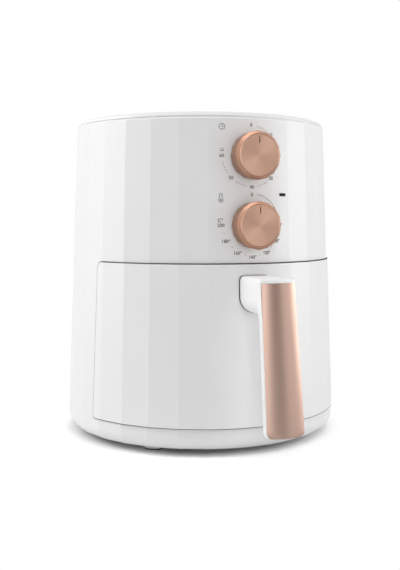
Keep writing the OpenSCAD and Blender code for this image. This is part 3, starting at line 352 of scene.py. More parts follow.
MATERIALS = {
    "white_shell": moulding("white_shell", WHITE, 0.42, tint=0.985),
    "white_grip": moulding("white_grip", GRIP_WHITE, 0.38, tint=0.985),
    "rose_gold": moulding("rose_gold", ROSE_PAINTED_DARKER, 0.42, tint=0.95, Metallic=1.0),
    "bright_rose": moulding("bright_rose", ROSE, 0.2, tint=0.97, Metallic=1.0),
    "satin_rose": moulding("satin_rose", SATIN_ROSE, 0.34, tint=0.97, Metallic=1.0),
    "black_gloss": moulding("black_gloss", (0.004, 0.004, 0.005, 1), 0.14, tint=0.8),
    "black_plastic": moulding("black_plastic", (0.03, 0.03, 0.033, 1), 0.5, tint=0.8),
    "rubber": moulding("rubber", (0.018, 0.018, 0.018, 1), 0.75, grain=1500.0, tint=0.7),
    "silicone": moulding("silicone", (0.045, 0.045, 0.048, 1), 0.6, tint=0.8),
    # The dark grey below is for the seam pieces: painted shade in the drawer's seam and round the neck's
    # root.
    "painted_seam_shade": moulding("painted_seam_shade", (0.07, 0.07, 0.073, 1), 0.8, tint=0.8),
    "insulation": moulding("insulation", (0.72, 0.69, 0.6, 1), 0.95, 600.0, 0.3 * MM, 0.85),
    "cream_plastic": moulding("cream_plastic", (0.72, 0.68, 0.58, 1), 0.5),
    "red_plastic": moulding("red_plastic", (0.5, 0.035, 0.03, 1), 0.4),
    "print_grey": moulding("print_grey", srgb(98, 99, 102), 0.5),
    "pointer_brown": moulding("pointer_brown", srgb(112, 78, 62), 0.45),
    "steel": metal("steel", (0.6, 0.61, 0.63, 1), 0.36),
    "heater": metal("heater", (0.2, 0.2, 0.21, 1), 0.42),
    "brass": metal("brass", (0.7, 0.55, 0.27, 1), 0.3),
    "copper": metal("copper", (0.66, 0.37, 0.22, 1), 0.32),
    "dark_coat": coating("dark_coat", (0.035, 0.035, 0.037, 1), 0.42),
}
TIMER_FACE = spun_face("timer_face_spun", ROSE, TIMER_Z)
TEMPERATURE_FACE = spun_face("temperature_face_spun", ROSE, TEMPERATURE_Z)

# ---- Making pieces ----

UPRIGHT = Matrix.Rotation(math.radians(90), 4, "X")
MERGE_DISTANCE = 0.002 * MM
CUT_DISTANCE = 0.001 * MM
FLAT_ANGLE = math.radians(0.4)
SMOOTH_ANGLE = math.radians(32)
ROUNDED_ANGLE = math.radians(35)
SOFT_EDGE_ANGLE = math.radians(40)
SOFT_EDGE_STEPS = 3


def merged_copy(node):
    """A node's skin with its loose triangles joined and its flat faces made whole."""
    shape = bmesh.new()
    shape.from_mesh(frame["nodes"][node].data)
    bmesh.ops.remove_doubles(shape, verts=shape.verts, dist=MERGE_DISTANCE)
    bmesh.ops.dissolve_limit(
        shape, angle_limit=FLAT_ANGLE, verts=shape.verts, edges=shape.edges)
    return shape


def round_edges(shape, width, segments):
    """Rounds the edges that turn by more than ROUNDED_ANGLE."""
    edges = [e for e in shape.edges if e.is_manifold and e.calc_face_angle(0) > ROUNDED_ANGLE]
    corners = list({v for e in edges for v in e.verts})
    bmesh.ops.bevel(
        shape, geom=edges + corners, offset=width, offset_type="OFFSET", segments=segments,
        profile=0.5, affect="EDGES", clamp_overlap=True, material=-1)


def keep_piece(shape, name, material, body, replaced=(), smooth=SMOOTH_ANGLE, wall=0, edge=0):
    """Turns a bmesh into a finished piece that rides on a body, with a wall and soft edges if asked."""
    mesh = bpy.data.meshes.new(name)
    shape.to_mesh(mesh)
    shape.free()
    for label in ("custom_normal", "sharp_face"):
        if label in mesh.attributes:
            mesh.attributes.remove(mesh.attributes[label])
    mesh.materials.clear()
    mesh.materials.append(material)
    mesh.shade_smooth()
    if smooth:
        mesh.set_sharp_from_angle(angle=smooth)
    piece = bpy.data.objects.new(name, mesh)
    bpy.context.collection.objects.link(piece)
    if wall:
        shell = piece.modifiers.new("wall", "SOLIDIFY")
        shell.thickness = wall
        shell.offset = -1
    if edge:
        soft = piece.modifiers.new("soft_edge", "BEVEL")
        soft.width = edge
        soft.segments = SOFT_EDGE_STEPS
        soft.limit_method = "ANGLE"
        soft.angle_limit = SOFT_EDGE_ANGLE
    even = piece.modifiers.new("even_shading", "WEIGHTED_NORMAL")
    even.keep_sharp = True
    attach(piece, body)
    if replaced:
        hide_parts(*replaced)
    return piece


def soften(node, width, material, smooth):
    """A CAD node's own shape, with its edges rounded as a mould or a press leaves them."""
    shape = merged_copy(node)
    round_edges(shape, width, 2)
    slot = slot_of_node[node]
    return keep_piece(shape, node + "_skin", material or MATERIALS[slot], body_of_node[node],
                      [node], smooth)


# ---- Body shell ----

SHELL_EDGE = 0.6 * MM
DRAWER_EDGE = 0.7 * MM
# Facets meet at 6.5 to 14 degrees along upright edges. Edges over SHARP_TURN are the part's own.
FACET_TURN = (6.5, 14)
SHARP_TURN = 34
UPRIGHT_WITHIN = math.radians(0.3)


def wall_radius(z):
    """The wall's radius at a height, to the facets' corners."""
    return WALL_RADIUS_TOP + LEAN * (BODY_TOP - z) / (BODY_TOP - WIDEST_Z)


def tuck_point(degrees):
    """Height and corner radius of the tucked-in lower edge, some degrees below the widest ring."""
    turn = math.radians(degrees)
    return (WIDEST_Z - TUCK_RADIUS * math.sin(turn),
            wall_radius(WIDEST_Z) - TUCK_RADIUS * (1 - math.cos(turn)))


def round_the_tuck(shape):
    """Adds rings between the tuck's own few, and moves them out to a true arc."""
    for first in range(0, TUCK_END, TUCK_STEP):
        z0, r0 = tuck_point(first)
        z1, r1 = tuck_point(first + TUCK_STEP)
        for degrees in range(first + TUCK_FINE_STEP, first + TUCK_STEP, TUCK_FINE_STEP):
            z, r = tuck_point(degrees)
            chord = r0 + (r1 - r0) * (z - z0) / (z1 - z0)
            everything = shape.verts[:] + shape.edges[:] + shape.faces[:]
            cut = bmesh.ops.bisect_plane(
                shape, geom=everything, dist=CUT_DISTANCE, plane_co=(0, 0, z), plane_no=(0, 0, 1))
            skin = chord * math.cos(FACET / 2) - SKIN_DEPTH
            for v in (v for v in cut["geom_cut"] if isinstance(v, bmesh.types.BMVert)):
                if math.hypot(v.co.x, v.co.y - AXIS_Y) > skin:
                    v.co.x *= r / chord
                    v.co.y = AXIS_Y + (v.co.y - AXIS_Y) * r / chord


def bearing(v):
    """A corner's angle round the body's axis, from the front."""
    return math.atan2(v.co.x, AXIS_Y - v.co.y)


def crease_facets(piece):
    """Keeps the upright edges between facets crisp, while the front band and the tuck stay smooth."""
    shape = bmesh.new()
    shape.from_mesh(piece.data)
    for edge in shape.edges:
        first, second = edge.verts
        upright = abs(bearing(first) - bearing(second)) < UPRIGHT_WITHIN
        turn = math.degrees(edge.calc_face_angle(0))
        edge.smooth = not (turn > SHARP_TURN or (upright and FACET_TURN[0] < turn < FACET_TURN[1]))
    shape.to_mesh(piece.data)
    shape.free()


def make_shell():
    """The main housing, with a round tuck and crisp facets."""
    shape = merged_copy("housing")
    round_the_tuck(shape)
    round_edges(shape, SHELL_EDGE, 2)
    crease_facets(keep_piece(shape, "faceted_shell", MATERIALS["white_shell"], "casing",
                             ["housing"], smooth=None))


def make_drawer_skin():
    """The drawer's front, with the shell's facets running on across it."""
    shape = merged_copy("drawer_front")
    round_edges(shape, DRAWER_EDGE, 3)
    crease_facets(keep_piece(shape, "drawer_skin", MATERIALS["white_shell"], "drawer",
                             ["drawer_front"], smooth=None))


# ---- Painted seam shade and beads ----

# Sizes of the dark sheet in the drawer's seam, which is painted shade in the gap.
SEAM_SHADE_REACH = 0.5 * MM
SEAM_SHADE_SUNK = 0.25 * MM
SEAM_SHADE_DEPTH = 3 * MM
SEAM_SHADE_WALL = 0.8 * MM
# Faces that look outwards by less than this are the drawer front's edge and inside.
SEAM_SHADE_FACING = 0.8
# Edges near the middle, clear of the rim, belong to the handle's screw holes.
SCREWS_HALF = 8 * MM
SCREWS_FROM_RIM = 5 * MM
RING_SIDES = 10
RING_STEPS = 120


def outward(point):
    """The level direction from the body's axis through a point."""
    return Vector((point.x, point.y - AXIS_Y, 0)).normalized()


def by_screw(edge, low, high):
    """Whether an edge of the drawer front is at a screw hole, and not on its rim."""
    centre = (edge.verts[0].co + edge.verts[1].co) / 2
    return (abs(centre.x) < SCREWS_HALF
            and low[2] + SCREWS_FROM_RIM < centre.z < high[2] - SCREWS_FROM_RIM)


def drawer_rim_wall(low, high):
    """A sheet that runs straight back from the rim of the drawer's front skin."""
    shape = merged_copy("drawer_front")
    shape.normal_update()
    hidden = [f for f in shape.faces if f.normal.dot(outward(f.calc_center_median())) < SEAM_SHADE_FACING]
    bmesh.ops.delete(shape, geom=hidden, context="FACES")
    skin = shape.faces[:]
    rim = [e for e in shape.edges if e.is_boundary and not by_screw(e, low, high)]
    made = bmesh.ops.extrude_edge_only(shape, edges=rim)["geom"]
    for v in (g for g in made if isinstance(g, bmesh.types.BMVert)):
        v.co -= outward(v.co) * SEAM_SHADE_DEPTH
    bmesh.ops.delete(shape, geom=skin, context="FACES")
    loose = [v for v in shape.verts if not v.link_faces]
    bmesh.ops.delete(shape, geom=loose, context="VERTS")
    return shape


def make_drawer_seal():
    """A dark sheet in the drawer's seam, round its edge: painted shade in the gap."""
    low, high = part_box("drawer_front")
    shape = drawer_rim_wall(low, high)
    bmesh.ops.recalc_face_normals(shape, faces=shape.faces)
    centre = Vector((0, (low[1] + high[1]) / 2, (low[2] + high[2]) / 2))
    facing = sum(f.normal.dot(f.calc_center_median() - centre) * f.calc_area() for f in shape.faces)
    if facing < 0:
        bmesh.ops.reverse_faces(shape, faces=shape.faces)
    shape.normal_update()
    for v, way in [(v, v.normal.copy()) for v in shape.verts]:
        v.co += way * SEAM_SHADE_REACH - outward(v.co) * SEAM_SHADE_SUNK
    keep_piece(shape, "drawer_seam_shade", MATERIALS["painted_seam_shade"], "drawer", wall=SEAM_SHADE_WALL)


def make_ring(name, material, body, radius, thick, centre, axis):
    """A thin round ring about an axis through its centre."""
    shape = bmesh.new()
    made = bmesh.ops.create_circle(shape, segments=RING_SIDES, radius=thick)["verts"]
    if axis == "Z":
        bmesh.ops.rotate(shape, cent=(0, 0, 0), matrix=UPRIGHT.to_3x3(), verts=made)
    bmesh.ops.translate(shape, vec=Vector(centre) + Vector((radius, 0, 0)), verts=made)
    turn = {"Z": (0, 0, 1), "Y": (0, 1, 0)}[axis]
    bmesh.ops.spin(shape, geom=shape.verts[:] + shape.edges[:], cent=centre, axis=turn,
                   angle=math.radians(360), steps=RING_STEPS, use_merge=True)
    bmesh.ops.recalc_face_normals(shape, faces=shape.faces)
    return keep_piece(shape, name, material, body)


# ---- Grip ----

COVER_HALF_TOP = 15.5 * MM
COVER_HALF_LOW = 17.5 * MM
COVER_CORNER = 5 * MM
# How far the cover stands before the grip's side line, at its sides and in its middle.
COVER_EDGE = 1.2 * MM
COVER_CROWN = 4.5 * MM
COVER_WALL = 1.3 * MM
COVER_SOFT_EDGE = 0.3 * MM
COVER_COLUMNS, COVER_ROWS = 28, 56
# Over 1, so that the rows are closer at the round lower corners.
COVER_ROW_POWER = 1.8
GRIP_REACH = 178.223 * MM
GRIP_SLOPE = 0.1333
GRIP_EDGE = 0.9 * MM
BACK_CROWN = 7.5 * MM
BACK_CUT = 0.4 * MM
NECK_TOP = 162.3 * MM
NECK_LOW = 129.4 * MM
NECK_HALF = 14.05 * MM
NECK_LENGTH = 47 * MM
# How far the neck starts inside the drawer's face, and how far it ends inside the grip.
NECK_ROOT = 1.6 * MM
NECK_END = 1 * MM
NECK_FILLET = 12 * MM
NECK_FLARE = 1.4 * MM
NECK_FLARE_POWER = 1.5
NECK_SIDES = 80
# Rings where the neck leaves the drawer: distance past the root, and inset.
NECK_GROOVE = ((0.45 * MM, 0.45 * MM), (0.6 * MM, 0.1 * MM), (0.9 * MM, 0))
# Rings along its straight run, and round the arc that turns down into the grip.
NECK_PLAIN_RINGS = (0.3, 0.65)
NECK_ARC_STEP = 9
# Nearer 0 makes the neck's upper corners squarer.
NECK_SQUARE = 0.22
# Sizes of the dark ring where the neck meets the drawer, which is painted contact shade.
NECK_SHADE_REACH = 0.3 * MM
NECK_SHADE_PROUD = 0.7 * MM


def grip_line(z):
    """Where the cover's side edges lie along Y at a height."""
    return AXIS_Y - GRIP_REACH - (COVER_TOP - z) * GRIP_SLOPE


def cover_half(z):
    """Half the cover's width, drawn in at its two round lower corners."""
    half = COVER_HALF_TOP + (COVER_HALF_LOW - COVER_HALF_TOP) * (COVER_TOP - z) / (COVER_TOP - COVER_LOW)
    rise = min(max(z - COVER_LOW, 0), COVER_CORNER)
    return half - COVER_CORNER + math.sqrt(COVER_CORNER ** 2 - (COVER_CORNER - rise) ** 2)


def make_grip_cover():
    """The satin cover on the grip: one crowned sheet with a wall."""
    shape = bmesh.new()
    bmesh.ops.create_grid(shape, x_segments=COVER_COLUMNS, y_segments=COVER_ROWS, size=0.5)
    for v in shape.verts:
        across, up = 2 * v.co.x, v.co.y + 0.5
        z = COVER_LOW + (COVER_TOP - COVER_LOW) * up ** COVER_ROW_POWER
        bulge = COVER_EDGE + (COVER_CROWN - COVER_EDGE) * (1 - across ** 2)
        v.co = (across * cover_half(z), grip_line(z) - bulge, z)
    keep_piece(shape, "grip_cover", MATERIALS["satin_rose"], "drawer", ["handle_cover"],
               wall=COVER_WALL, edge=COVER_SOFT_EDGE)


def neck_stations():
    """Rings from the drawer to the grip: a share of the way, an inset, and a share of the drop."""
    stations = [(0, NECK_GROOVE[0][1], 0)]
    stations += [(NECK_ROOT + distance, inset, 0) for distance, inset in NECK_GROOVE]
    back = NECK_LENGTH - BACK_CROWN + NECK_END
    stations += [((back - NECK_FILLET) * share, 0, 0) for share in NECK_PLAIN_RINGS]
    for degrees in range(0, 91, NECK_ARC_STEP):
        turn = math.radians(degrees)
        stations.append((back - NECK_FILLET * (1 - math.sin(turn)), 0, 1 - math.cos(turn)))
    stations.append((NECK_LENGTH, 0, 1))
    return [(distance / NECK_LENGTH, inset, drop) for distance, inset, drop in stations]


def start_neck(shape):
    """A capped unit circle that faces along Y: its corners and its edges."""
    verts = bmesh.ops.create_circle(shape, cap_ends=True, segments=NECK_SIDES, radius=1)["verts"]
    bmesh.ops.rotate(shape, cent=(0, 0, 0), matrix=UPRIGHT.to_3x3(), verts=verts)
    return verts, [e for e in shape.edges if all(v in verts for v in e.verts)]


def grow_ring(shape, ring):
    """Extrudes a ring of edges: the new ring's corners and edges."""
    grown = bmesh.ops.extrude_edge_only(shape, edges=ring)["geom"]
    verts = [g for g in grown if isinstance(g, bmesh.types.BMVert)]
    edges = [g for g in grown if isinstance(g, bmesh.types.BMEdge) and all(v in verts for v in g.verts)]
    return verts, edges


def neck_section(v, half, low, top):
    """Where a corner of the unit circle falls on the neck: flat above, and fully round below."""
    across, up = v.co.x, v.co.z
    middle_z = low + half
    if up <= 0:
        return across * half, middle_z + up * half
    return (math.copysign(abs(across) ** NECK_SQUARE, across) * half,
            middle_z + up ** NECK_SQUARE * (top - middle_z))


def add_neck(shape):
    """The neck, which flows down into the grip's back."""
    stations = neck_stations()
    verts, ring = start_neck(shape)
    rings = [verts]
    for _ in stations[1:]:
        verts, ring = grow_ring(shape, ring)
        rings.append(verts)
    bmesh.ops.edgeloop_fill(shape, edges=ring)
    for verts, (share, inset, drop) in zip(rings, stations):
        half = NECK_HALF - inset + NECK_FLARE * drop ** NECK_FLARE_POWER
        low = NECK_LOW + inset - NECK_FILLET * drop
        for v in verts:
            x, z = neck_section(v, half, low, NECK_TOP - inset)
            start = AXIS_Y - wall_radius(z) - DRAWER_PROUD + NECK_ROOT
            v.co = (x, start + share * (grip_line(z) + NECK_END - start), z)


def make_neck_gasket():
    """A dark ring round the neck where it meets the drawer: painted contact shade."""
    shape = bmesh.new()
    inner, ring = start_neck(shape)
    outer, ring = grow_ring(shape, ring)
    bmesh.ops.edgeloop_fill(shape, edges=ring)
    half, low, top = NECK_HALF + NECK_SHADE_REACH, NECK_LOW - NECK_SHADE_REACH, NECK_TOP + NECK_SHADE_REACH
    for verts, proud in ((inner, -NECK_ROOT), (outer, NECK_SHADE_PROUD)):
        for v in verts:
            x, z = neck_section(v, half, low, top)
            reach = wall_radius(z) + DRAWER_PROUD
            v.co = (x, AXIS_Y - math.sqrt(reach ** 2 - x ** 2) - proud, z)
    bmesh.ops.recalc_face_normals(shape, faces=shape.faces)
    keep_piece(shape, "neck_seam_shade", MATERIALS["painted_seam_shade"], "drawer")


def make_grip_body():
    """The white grip behind its cover, with the neck that joins it to the drawer."""
    shape = merged_copy("handle_body")
    back = (0, grip_line(COVER_TOP) + BACK_CROWN + BACK_CUT, COVER_TOP)
    everything = shape.verts[:] + shape.edges[:] + shape.faces[:]
    bmesh.ops.bisect_plane(shape, geom=everything, dist=CUT_DISTANCE, plane_co=back,
                           plane_no=(0, 1, -GRIP_SLOPE), clear_outer=True)
    open_edges = [e for e in shape.edges if e.is_boundary]
    bmesh.ops.holes_fill(shape, edges=open_edges, sides=0)
    round_edges(shape, GRIP_EDGE, 3)
    add_neck(shape)
    bmesh.ops.recalc_face_normals(shape, faces=shape.faces)
    keep_piece(shape, "grip_body", MATERIALS["white_grip"], "drawer", ["handle_body"])


# ---- Print on the panel ----

PRINT_LIFT = 0.06 * MM
PRINT_THICK = 0.08 * MM
LETTER_SCALE = 1.18
LETTER_WEIGHT = 0.07 * MM
NUMBER_SIZE = 3.7 * MM
DEGREES_SIZE = 3.5 * MM
DOT_RADIUS = 0.4 * MM
DOT_SIDES = 12
BAR_STEPS = 4
ARC_STEP = 6
TIMER_TURN = 270
TIMER_NUMBERS_AT = 27.4 * MM
TIMER_DOTS_AT = 27.0 * MM
TIMER_DOTS = (-10, -5, 0, 5, 10)
ZERO_AT = 27.1 * MM
DEGREES_AT = 28.4 * MM
HIGHEST_AT = 28.9 * MM
DEGREES_DOTS_AT = 27.2 * MM
# Radius, width, and where it starts and ends.
RISING_LINE = (28 * MM, 0.4 * MM, 11, 78)
# Radius and angle round the dial, and then places beside a dial's centre.
BELL_PLACE = (27.6 * MM, 280)
CLOCK_PLACE = (-26.8 * MM, 25.5 * MM)
UNIT_PLACE = (-29.2 * MM, 4.2 * MM)
THERMOMETER_PLACE = (-28.6 * MM, 24.5 * MM)
POINTER_SIZE = (0.9 * MM, 0.5 * MM, 5.7 * MM)
POINTER_SUNK = 0.47 * MM
POINTER_RISE = 13.5 * MM
POINTER_EDGE = 0.12 * MM


def stand_up(shape, geometry, x, z):
    """Turns flat geometry to face the front and moves it to its place."""
    verts = [g for g in geometry if isinstance(g, bmesh.types.BMVert)]
    bmesh.ops.transform(shape, matrix=Matrix.Translation((x, 0, z)) @ UPRIGHT, verts=verts)


def print_words(shape, words, size, x, z):
    """Words or numbers centred on a place."""
    letters = bpy.data.curves.new("words", "FONT")
    letters.body = words
    letters.size = size * LETTER_SCALE
    letters.offset = LETTER_WEIGHT
    letters.align_x = "CENTER"
    letters.align_y = "CENTER"
    holder = bpy.data.objects.new("words", letters)
    mesh = bpy.data.meshes.new_from_object(holder)
    before = set(shape.verts)
    shape.from_mesh(mesh)
    stand_up(shape, [v for v in shape.verts if v not in before], x, z)
    bpy.data.objects.remove(holder)
    bpy.data.meshes.remove(mesh)


def print_dot(shape, x, z):
    """A small round dot."""
    made = bmesh.ops.create_circle(shape, cap_ends=True, segments=DOT_SIDES, radius=DOT_RADIUS)
    stand_up(shape, made["verts"], x, z)


def print_bar(shape, start, end, width):
    """A straight line of ink between two places on the panel."""
    start, end = Vector(start), Vector(end)
    along = end - start
    made = bmesh.ops.create_grid(shape, x_segments=BAR_STEPS, y_segments=1, size=0.5)
    bmesh.ops.scale(shape, vec=(along.length, width, 1), verts=made["verts"])
    turn = Matrix.Rotation(math.atan2(along.y, along.x), 3, "Z")
    bmesh.ops.rotate(shape, cent=(0, 0, 0), matrix=turn, verts=made["verts"])
    centre = (start + end) / 2
    stand_up(shape, made["verts"], centre.x, centre.y)


def print_arc(shape, radius, width, start, end, x, z):
    """A curved line of ink, its angles clockwise from the top."""
    turn = math.radians(90 - start)
    ends = [shape.verts.new((r * math.cos(turn), r * math.sin(turn), 0))
            for r in (radius - width / 2, radius + width / 2)]
    edge = shape.edges.new(ends)
    steps = max(4, int(abs(end - start) / ARC_STEP))
    before = set(shape.verts) - set(ends)
    bmesh.ops.spin(shape, geom=ends + [edge], cent=(0, 0, 0), axis=(0, 0, 1),
                   angle=math.radians(start - end), steps=steps, use_merge=abs(end - start) >= 360)
    stand_up(shape, [v for v in shape.verts if v not in before], x, z)


def press_on_wall(shape):
    """Lays flat print against the leaning, rounded front of the shell."""
    for v in shape.verts:
        v.co.y = AXIS_Y - math.sqrt(wall_radius(v.co.z) ** 2 - v.co.x ** 2) - PRINT_LIFT


def keep_print(shape, name):
    """Lays finished print on the wall, facing out, as a piece of its own."""
    press_on_wall(shape)
    bmesh.ops.recalc_face_normals(shape, faces=shape.faces)
    facing = sum(face.normal.y * face.calc_area() for face in shape.faces)
    if facing > 0:
        bmesh.ops.reverse_faces(shape, faces=shape.faces)
    return keep_piece(shape, name, MATERIALS["print_grey"], "casing", smooth=None,
                      wall=PRINT_THICK)


def round_dial(radius, angle, centre_z):
    """Where an angle clockwise from the top falls on a circle round a dial."""
    turn = math.radians(angle)
    return radius * math.sin(turn), centre_z + radius * math.cos(turn)


def print_bell(shape, x, z):
    """A round bell over its rim."""
    print_arc(shape, 1.2 * MM, 0.35 * MM, 0, 360, x, z + 0.4 * MM)
    print_bar(shape, (x - 1.6 * MM, z - 0.3 * MM), (x + 1.6 * MM, z - 0.3 * MM), 0.35 * MM)


def print_clock(shape, x, z):
    """A clock's ring and two hands."""
    print_arc(shape, 2.5 * MM, 0.5 * MM, 0, 360, x, z)
    print_bar(shape, (x, z), (x, z + 1.8 * MM), 0.45 * MM)
    print_bar(shape, (x, z), (x + 1.4 * MM, z), 0.45 * MM)


def print_thermometer(shape, x, z):
    """An open bulb with a dot in it, two sides and a round top."""
    line, half, top, bulb = 0.5 * MM, 1.05 * MM, 2.5 * MM, 2.3 * MM
    print_arc(shape, 1.9 * MM, line, 35, 325, x, z - bulb)
    print_arc(shape, 0.6 * MM, 0.6 * MM, 0, 360, x, z - bulb)
    for side in (-1, 1):
        print_bar(shape, (x + side * half, z - 0.5 * MM), (x + side * half, z + top), line)
    print_arc(shape, half, line, -90, 90, x, z + top)


def print_timer_scale():
    """Minutes from 0 to 60 over three quarters of a turn, with five dots between numbers."""
    shape = bmesh.new()
    minute = TIMER_TURN / 60
    for minutes in range(0, 61, 10):
        print_words(shape, str(minutes), NUMBER_SIZE,
                    *round_dial(TIMER_NUMBERS_AT, minutes * minute, TIMER_Z))
    for minutes in range(5, 60, 10):
        for apart in TIMER_DOTS:
            print_dot(shape, *round_dial(TIMER_DOTS_AT, minutes * minute + apart, TIMER_Z))
    print_bell(shape, *round_dial(*BELL_PLACE, TIMER_Z))
    print_clock(shape, CLOCK_PLACE[0], TIMER_Z + CLOCK_PLACE[1])
    return keep_print(shape, "timer_print")


def print_temperature_scale():
    """Degrees from 80 to 200, a line that sweeps round from 0, and a thermometer."""
    shape = bmesh.new()
    print_words(shape, "0", NUMBER_SIZE, *round_dial(ZERO_AT, 0, TEMPERATURE_Z))
    for step, degrees in enumerate(range(80, 201, 20)):
        angle = 90 + 30 * step
        highest = degrees == 200
        words = str(degrees) + ("" if highest else "\u00b0")
        print_words(shape, words, DEGREES_SIZE,
                    *round_dial(HIGHEST_AT if highest else DEGREES_AT, angle, TEMPERATURE_Z))
        if not highest:
            print_dot(shape, *round_dial(DEGREES_DOTS_AT, angle + 15, TEMPERATURE_Z))
    print_arc(shape, *RISING_LINE, 0, TEMPERATURE_Z)
    print_words(shape, "C\u00b0", NUMBER_SIZE, UNIT_PLACE[0], TEMPERATURE_Z + UNIT_PLACE[1])
    print_thermometer(shape, THERMOMETER_PLACE[0], TEMPERATURE_Z + THERMOMETER_PLACE[1])
    return keep_print(shape, "temperature_print")


def make_pointer(name, centre_z, disc, body):
    """The dark line let into a dial's face."""
    shape = bmesh.new()
    made = bmesh.ops.create_cube(shape, size=1)["verts"]
    bmesh.ops.scale(shape, vec=POINTER_SIZE, verts=made)
    face_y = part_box(disc)[0][1]
    bmesh.ops.translate(shape, vec=(0, face_y + POINTER_SUNK, centre_z + POINTER_RISE), verts=made)
    round_edges(shape, POINTER_EDGE, 2)
    return keep_piece(shape, name, MATERIALS["pointer_brown"], body)


# ---- Floor and light ----

# Distances on the floor are in metres from a place near the body's axis.
FLOOR_SIZE = 6.0
# The floor's colour as it lights the object, and as it is seen, in the open and under the body, where it
# is darker as a painted shadow.
FLOOR_BOUNCE = 0.9
FLOOR_SEEN = 1.35
FLOOR_PAINTED_SHADOW = 0.3
# The painted shadow under the body fades out between these two distances.
PAINTED_SHADOW_FROM = 0.085
PAINTED_SHADOW_TO = 0.14
# The floor shows its shadow up to the first distance, and is plain white from the second.
SHADOW_KEPT = 0.128
SHADOW_GONE = 0.158
SHADOW_SHIFT = 0.009
TOWARDS_CAMERA = Vector((CAMERA_PLACE[0], CAMERA_PLACE[1], 0)).normalized()
# Reflections find a dimmer part of the room on this side, within 60 degrees of it.
DARK_SIDE = Matrix.Rotation(math.radians(42), 3, "Z") @ TOWARDS_CAMERA
DARK_SIDE_LEVEL = 0.4
DARK_SIDE_FROM = 0.5
LAMPS_AIM = Vector((0, AXIS_Y, 0.16))
# Name, degrees round from the camera's side, height, distance, width, height of the box, power.
LAMPS = (
    ("front_box", 5, 0.25, 1.5, 0.55, 1.4, 5.5),
    ("right_front_box", 57, 0.25, 1.5, 0.55, 1.4, 2.6),
    ("right_box", 90, 0.25, 1.5, 0.55, 1.4, 12.0),
    ("left_front_box", -45, 0.25, 1.5, 0.55, 1.4, 1.0),
    ("left_box", -85, 0.25, 1.5, 0.55, 1.4, 7.2),
    ("left_back_box", -105, 0.25, 1.5, 0.55, 1.4, 1.6),
    ("high_left_box", -90, 1.0, 1.3, 0.9, 0.9, 10.0),
    ("top_box", 0, 1.5, 0.5, 1.2, 1.2, 10.3),
    ("high_right_box", 90, 1.3, 0.8, 1.0, 1.0, 1.1),
)


def seen_straight(tree, with_glossy):
    """Two masks: rays that see a thing plainly, with reflected ones if asked, and reflected ones."""
    paths = place(tree, "ShaderNodeLightPath")
    seen = maths(tree, "MAXIMUM", paths.outputs["Is Camera Ray"],
                 paths.outputs["Is Transmission Ray"])
    if with_glossy:
        seen = maths(tree, "MAXIMUM", seen, paths.outputs["Is Glossy Ray"])
    return seen, paths.outputs["Is Glossy Ray"]


def make_floor():
    """A matt floor with the object's shadow, a painted shadow darker under the body, and plain white
    further out.
    """
    mesh = bpy.data.meshes.new("floor")
    shape = bmesh.new()
    bmesh.ops.create_grid(shape, x_segments=1, y_segments=1, size=FLOOR_SIZE)
    shape.to_mesh(mesh)
    shape.free()
    floor = bpy.data.objects.new("floor", mesh)
    bpy.context.collection.objects.link(floor)
    material = bpy.data.materials.new("floor_white")
    material.use_nodes = True
    tree = material.node_tree
    tree.nodes.clear()
    end = place(tree, "ShaderNodeOutputMaterial")
    seen, _ = seen_straight(tree, True)
    spot = place(tree, "ShaderNodeTexCoord")
    away = place(tree, "ShaderNodeVectorMath", {
        0: spot.outputs["Object"], 1: (-SHADOW_SHIFT, AXIS_Y, 0)}, operation="DISTANCE")
    # Painted shadow: the colour the camera sees is darker near the body's axis.
    under = place(tree, "ShaderNodeMapRange", {
        "Value": away.outputs["Value"], "From Min": PAINTED_SHADOW_FROM, "From Max": PAINTED_SHADOW_TO,
        "To Min": FLOOR_PAINTED_SHADOW, "To Max": FLOOR_SEEN})
    level = place(tree, "ShaderNodeMapRange", {
        "Value": seen, "To Min": FLOOR_BOUNCE, "To Max": under.outputs["Result"]})
    matt = place(tree, "ShaderNodeBsdfDiffuse", {"Color": level.outputs["Result"]})
    white = place(tree, "ShaderNodeEmission", {"Color": (1, 1, 1, 1), "Strength": 1.0})
    far = place(tree, "ShaderNodeMapRange", {
        "Value": away.outputs["Value"], "From Min": SHADOW_KEPT, "From Max": SHADOW_GONE},
        interpolation_type="SMOOTHSTEP")
    share = maths(tree, "MULTIPLY", seen, far.outputs["Result"])
    both = place(tree, "ShaderNodeMixShader", {0: share, 1: matt.outputs[0], 2: white.outputs[0]})
    tree.links.new(both.outputs[0], end.inputs["Surface"])
    mesh.materials.append(material)


def make_world():
    """White where it is seen; in reflections also white, but dimmer to the camera's right."""
    world = bpy.data.worlds.new("studio")
    bpy.context.scene.world = world
    world.use_nodes = True
    tree = world.node_tree
    tree.nodes.clear()
    end = place(tree, "ShaderNodeOutputWorld")
    seen, glossy = seen_straight(tree, False)
    way = place(tree, "ShaderNodeTexCoord")
    ahead = place(tree, "ShaderNodeVectorMath", {
        0: way.outputs["Generated"], 1: tuple(DARK_SIDE)}, operation="DOT_PRODUCT")
    room = place(tree, "ShaderNodeMapRange", {
        "Value": ahead.outputs["Value"], "From Min": DARK_SIDE_FROM, "From Max": 1.0,
        "To Min": 1.0, "To Max": DARK_SIDE_LEVEL}, interpolation_type="SMOOTHSTEP")
    mirror = place(tree, "ShaderNodeBackground", {"Color": room.outputs["Result"], "Strength": 1.0})
    unlit = place(tree, "ShaderNodeBackground", {"Color": (1, 1, 1, 1), "Strength": 0.0})
    white = place(tree, "ShaderNodeBackground", {"Color": (1, 1, 1, 1), "Strength": 1.0})
    lit = place(tree, "ShaderNodeMixShader", {0: glossy, 1: unlit.outputs[0], 2: mirror.outputs[0]})
    both = place(tree, "ShaderNodeMixShader", {0: seen, 1: lit.outputs[0], 2: white.outputs[0]})
    tree.links.new(both.outputs[0], end.inputs["Surface"])


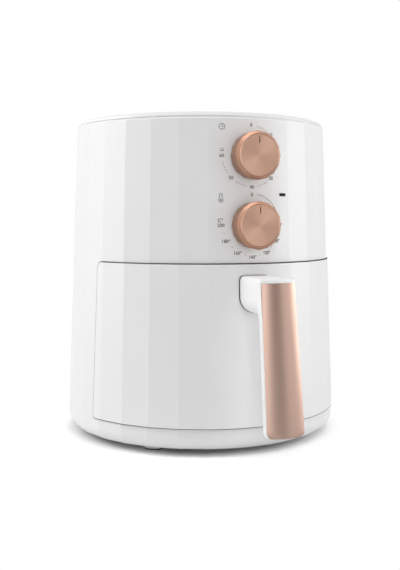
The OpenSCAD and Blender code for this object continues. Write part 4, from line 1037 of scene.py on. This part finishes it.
def make_lamp(name, turn, height, distance, width, tall, power):
    """A soft box round the body at an angle from the camera's side, aimed at the body."""
    data = bpy.data.lights.new(name, "AREA")
    data.shape = "RECTANGLE"
    data.size = width
    data.size_y = tall
    data.energy = power
    lamp = bpy.data.objects.new(name, data)
    way = Matrix.Rotation(math.radians(turn), 3, "Z") @ TOWARDS_CAMERA
    lamp.location = LAMPS_AIM + way * distance + Vector((0, 0, height))
    lamp.rotation_euler = (LAMPS_AIM - lamp.location).to_track_quat("-Z", "Y").to_euler()
    bpy.context.collection.objects.link(lamp)


bpy.context.scene.view_settings.view_transform = "Standard"
make_floor()
make_world()
for lamp in LAMPS:
    make_lamp(*lamp)

# ---- The whole fryer ----

REDRAWN = ("housing", "drawer_front", "handle_cover", "handle_body")
# How far edges are rounded, in millimetres, on the nodes that keep their own shape.
EDGE_WIDTH = 0.25
EDGE_WIDTHS = {"top_cover": 0.3, "timer_knob": 0.5, "temperature_knob": 0.5}
CRISP_ANGLE = math.radians(18)
CRISP_NODES = ("timer_knob", "temperature_knob")
OWN_MATERIALS = {"timer_knob_face": TIMER_FACE, "temperature_knob_face": TEMPERATURE_FACE}
LID_SEAT_RADIUS = 120.9 * MM
LID_SEAT_THICK = 0.35 * MM
LID_SEAT_RISE = 0.3 * MM
LIP_RADIUS = 18.55 * MM
LIP_THICK = 0.34 * MM
LIP_SUNK = 0.3 * MM

make_shell()
make_drawer_skin()
make_drawer_seal()
make_ring("lid_seat", MATERIALS["white_shell"], "casing", LID_SEAT_RADIUS,
          LID_SEAT_THICK, (0, AXIS_Y, BODY_TOP + LID_SEAT_RISE), "Z")
make_grip_cover()
make_grip_body()
make_neck_gasket()
for node in frame["nodes"]:
    if node not in REDRAWN:
        soften(node, EDGE_WIDTHS.get(node, EDGE_WIDTH) * MM, OWN_MATERIALS.get(node),
               CRISP_ANGLE if node in CRISP_NODES else SMOOTH_ANGLE)
for disc, body, z in (("timer_knob_face", "timer_dial", TIMER_Z),
                      ("temperature_knob_face", "temperature_dial", TEMPERATURE_Z)):
    make_ring(body + "_lip", MATERIALS["bright_rose"], body, LIP_RADIUS, LIP_THICK,
              (0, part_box(disc)[0][1] + LIP_SUNK, z), "Y")
print_timer_scale()
print_temperature_scale()
make_pointer("timer_pointer", TIMER_Z, "timer_knob_face", "timer_dial")
make_pointer("temperature_pointer", TEMPERATURE_Z, "temperature_knob_face", "temperature_dial")
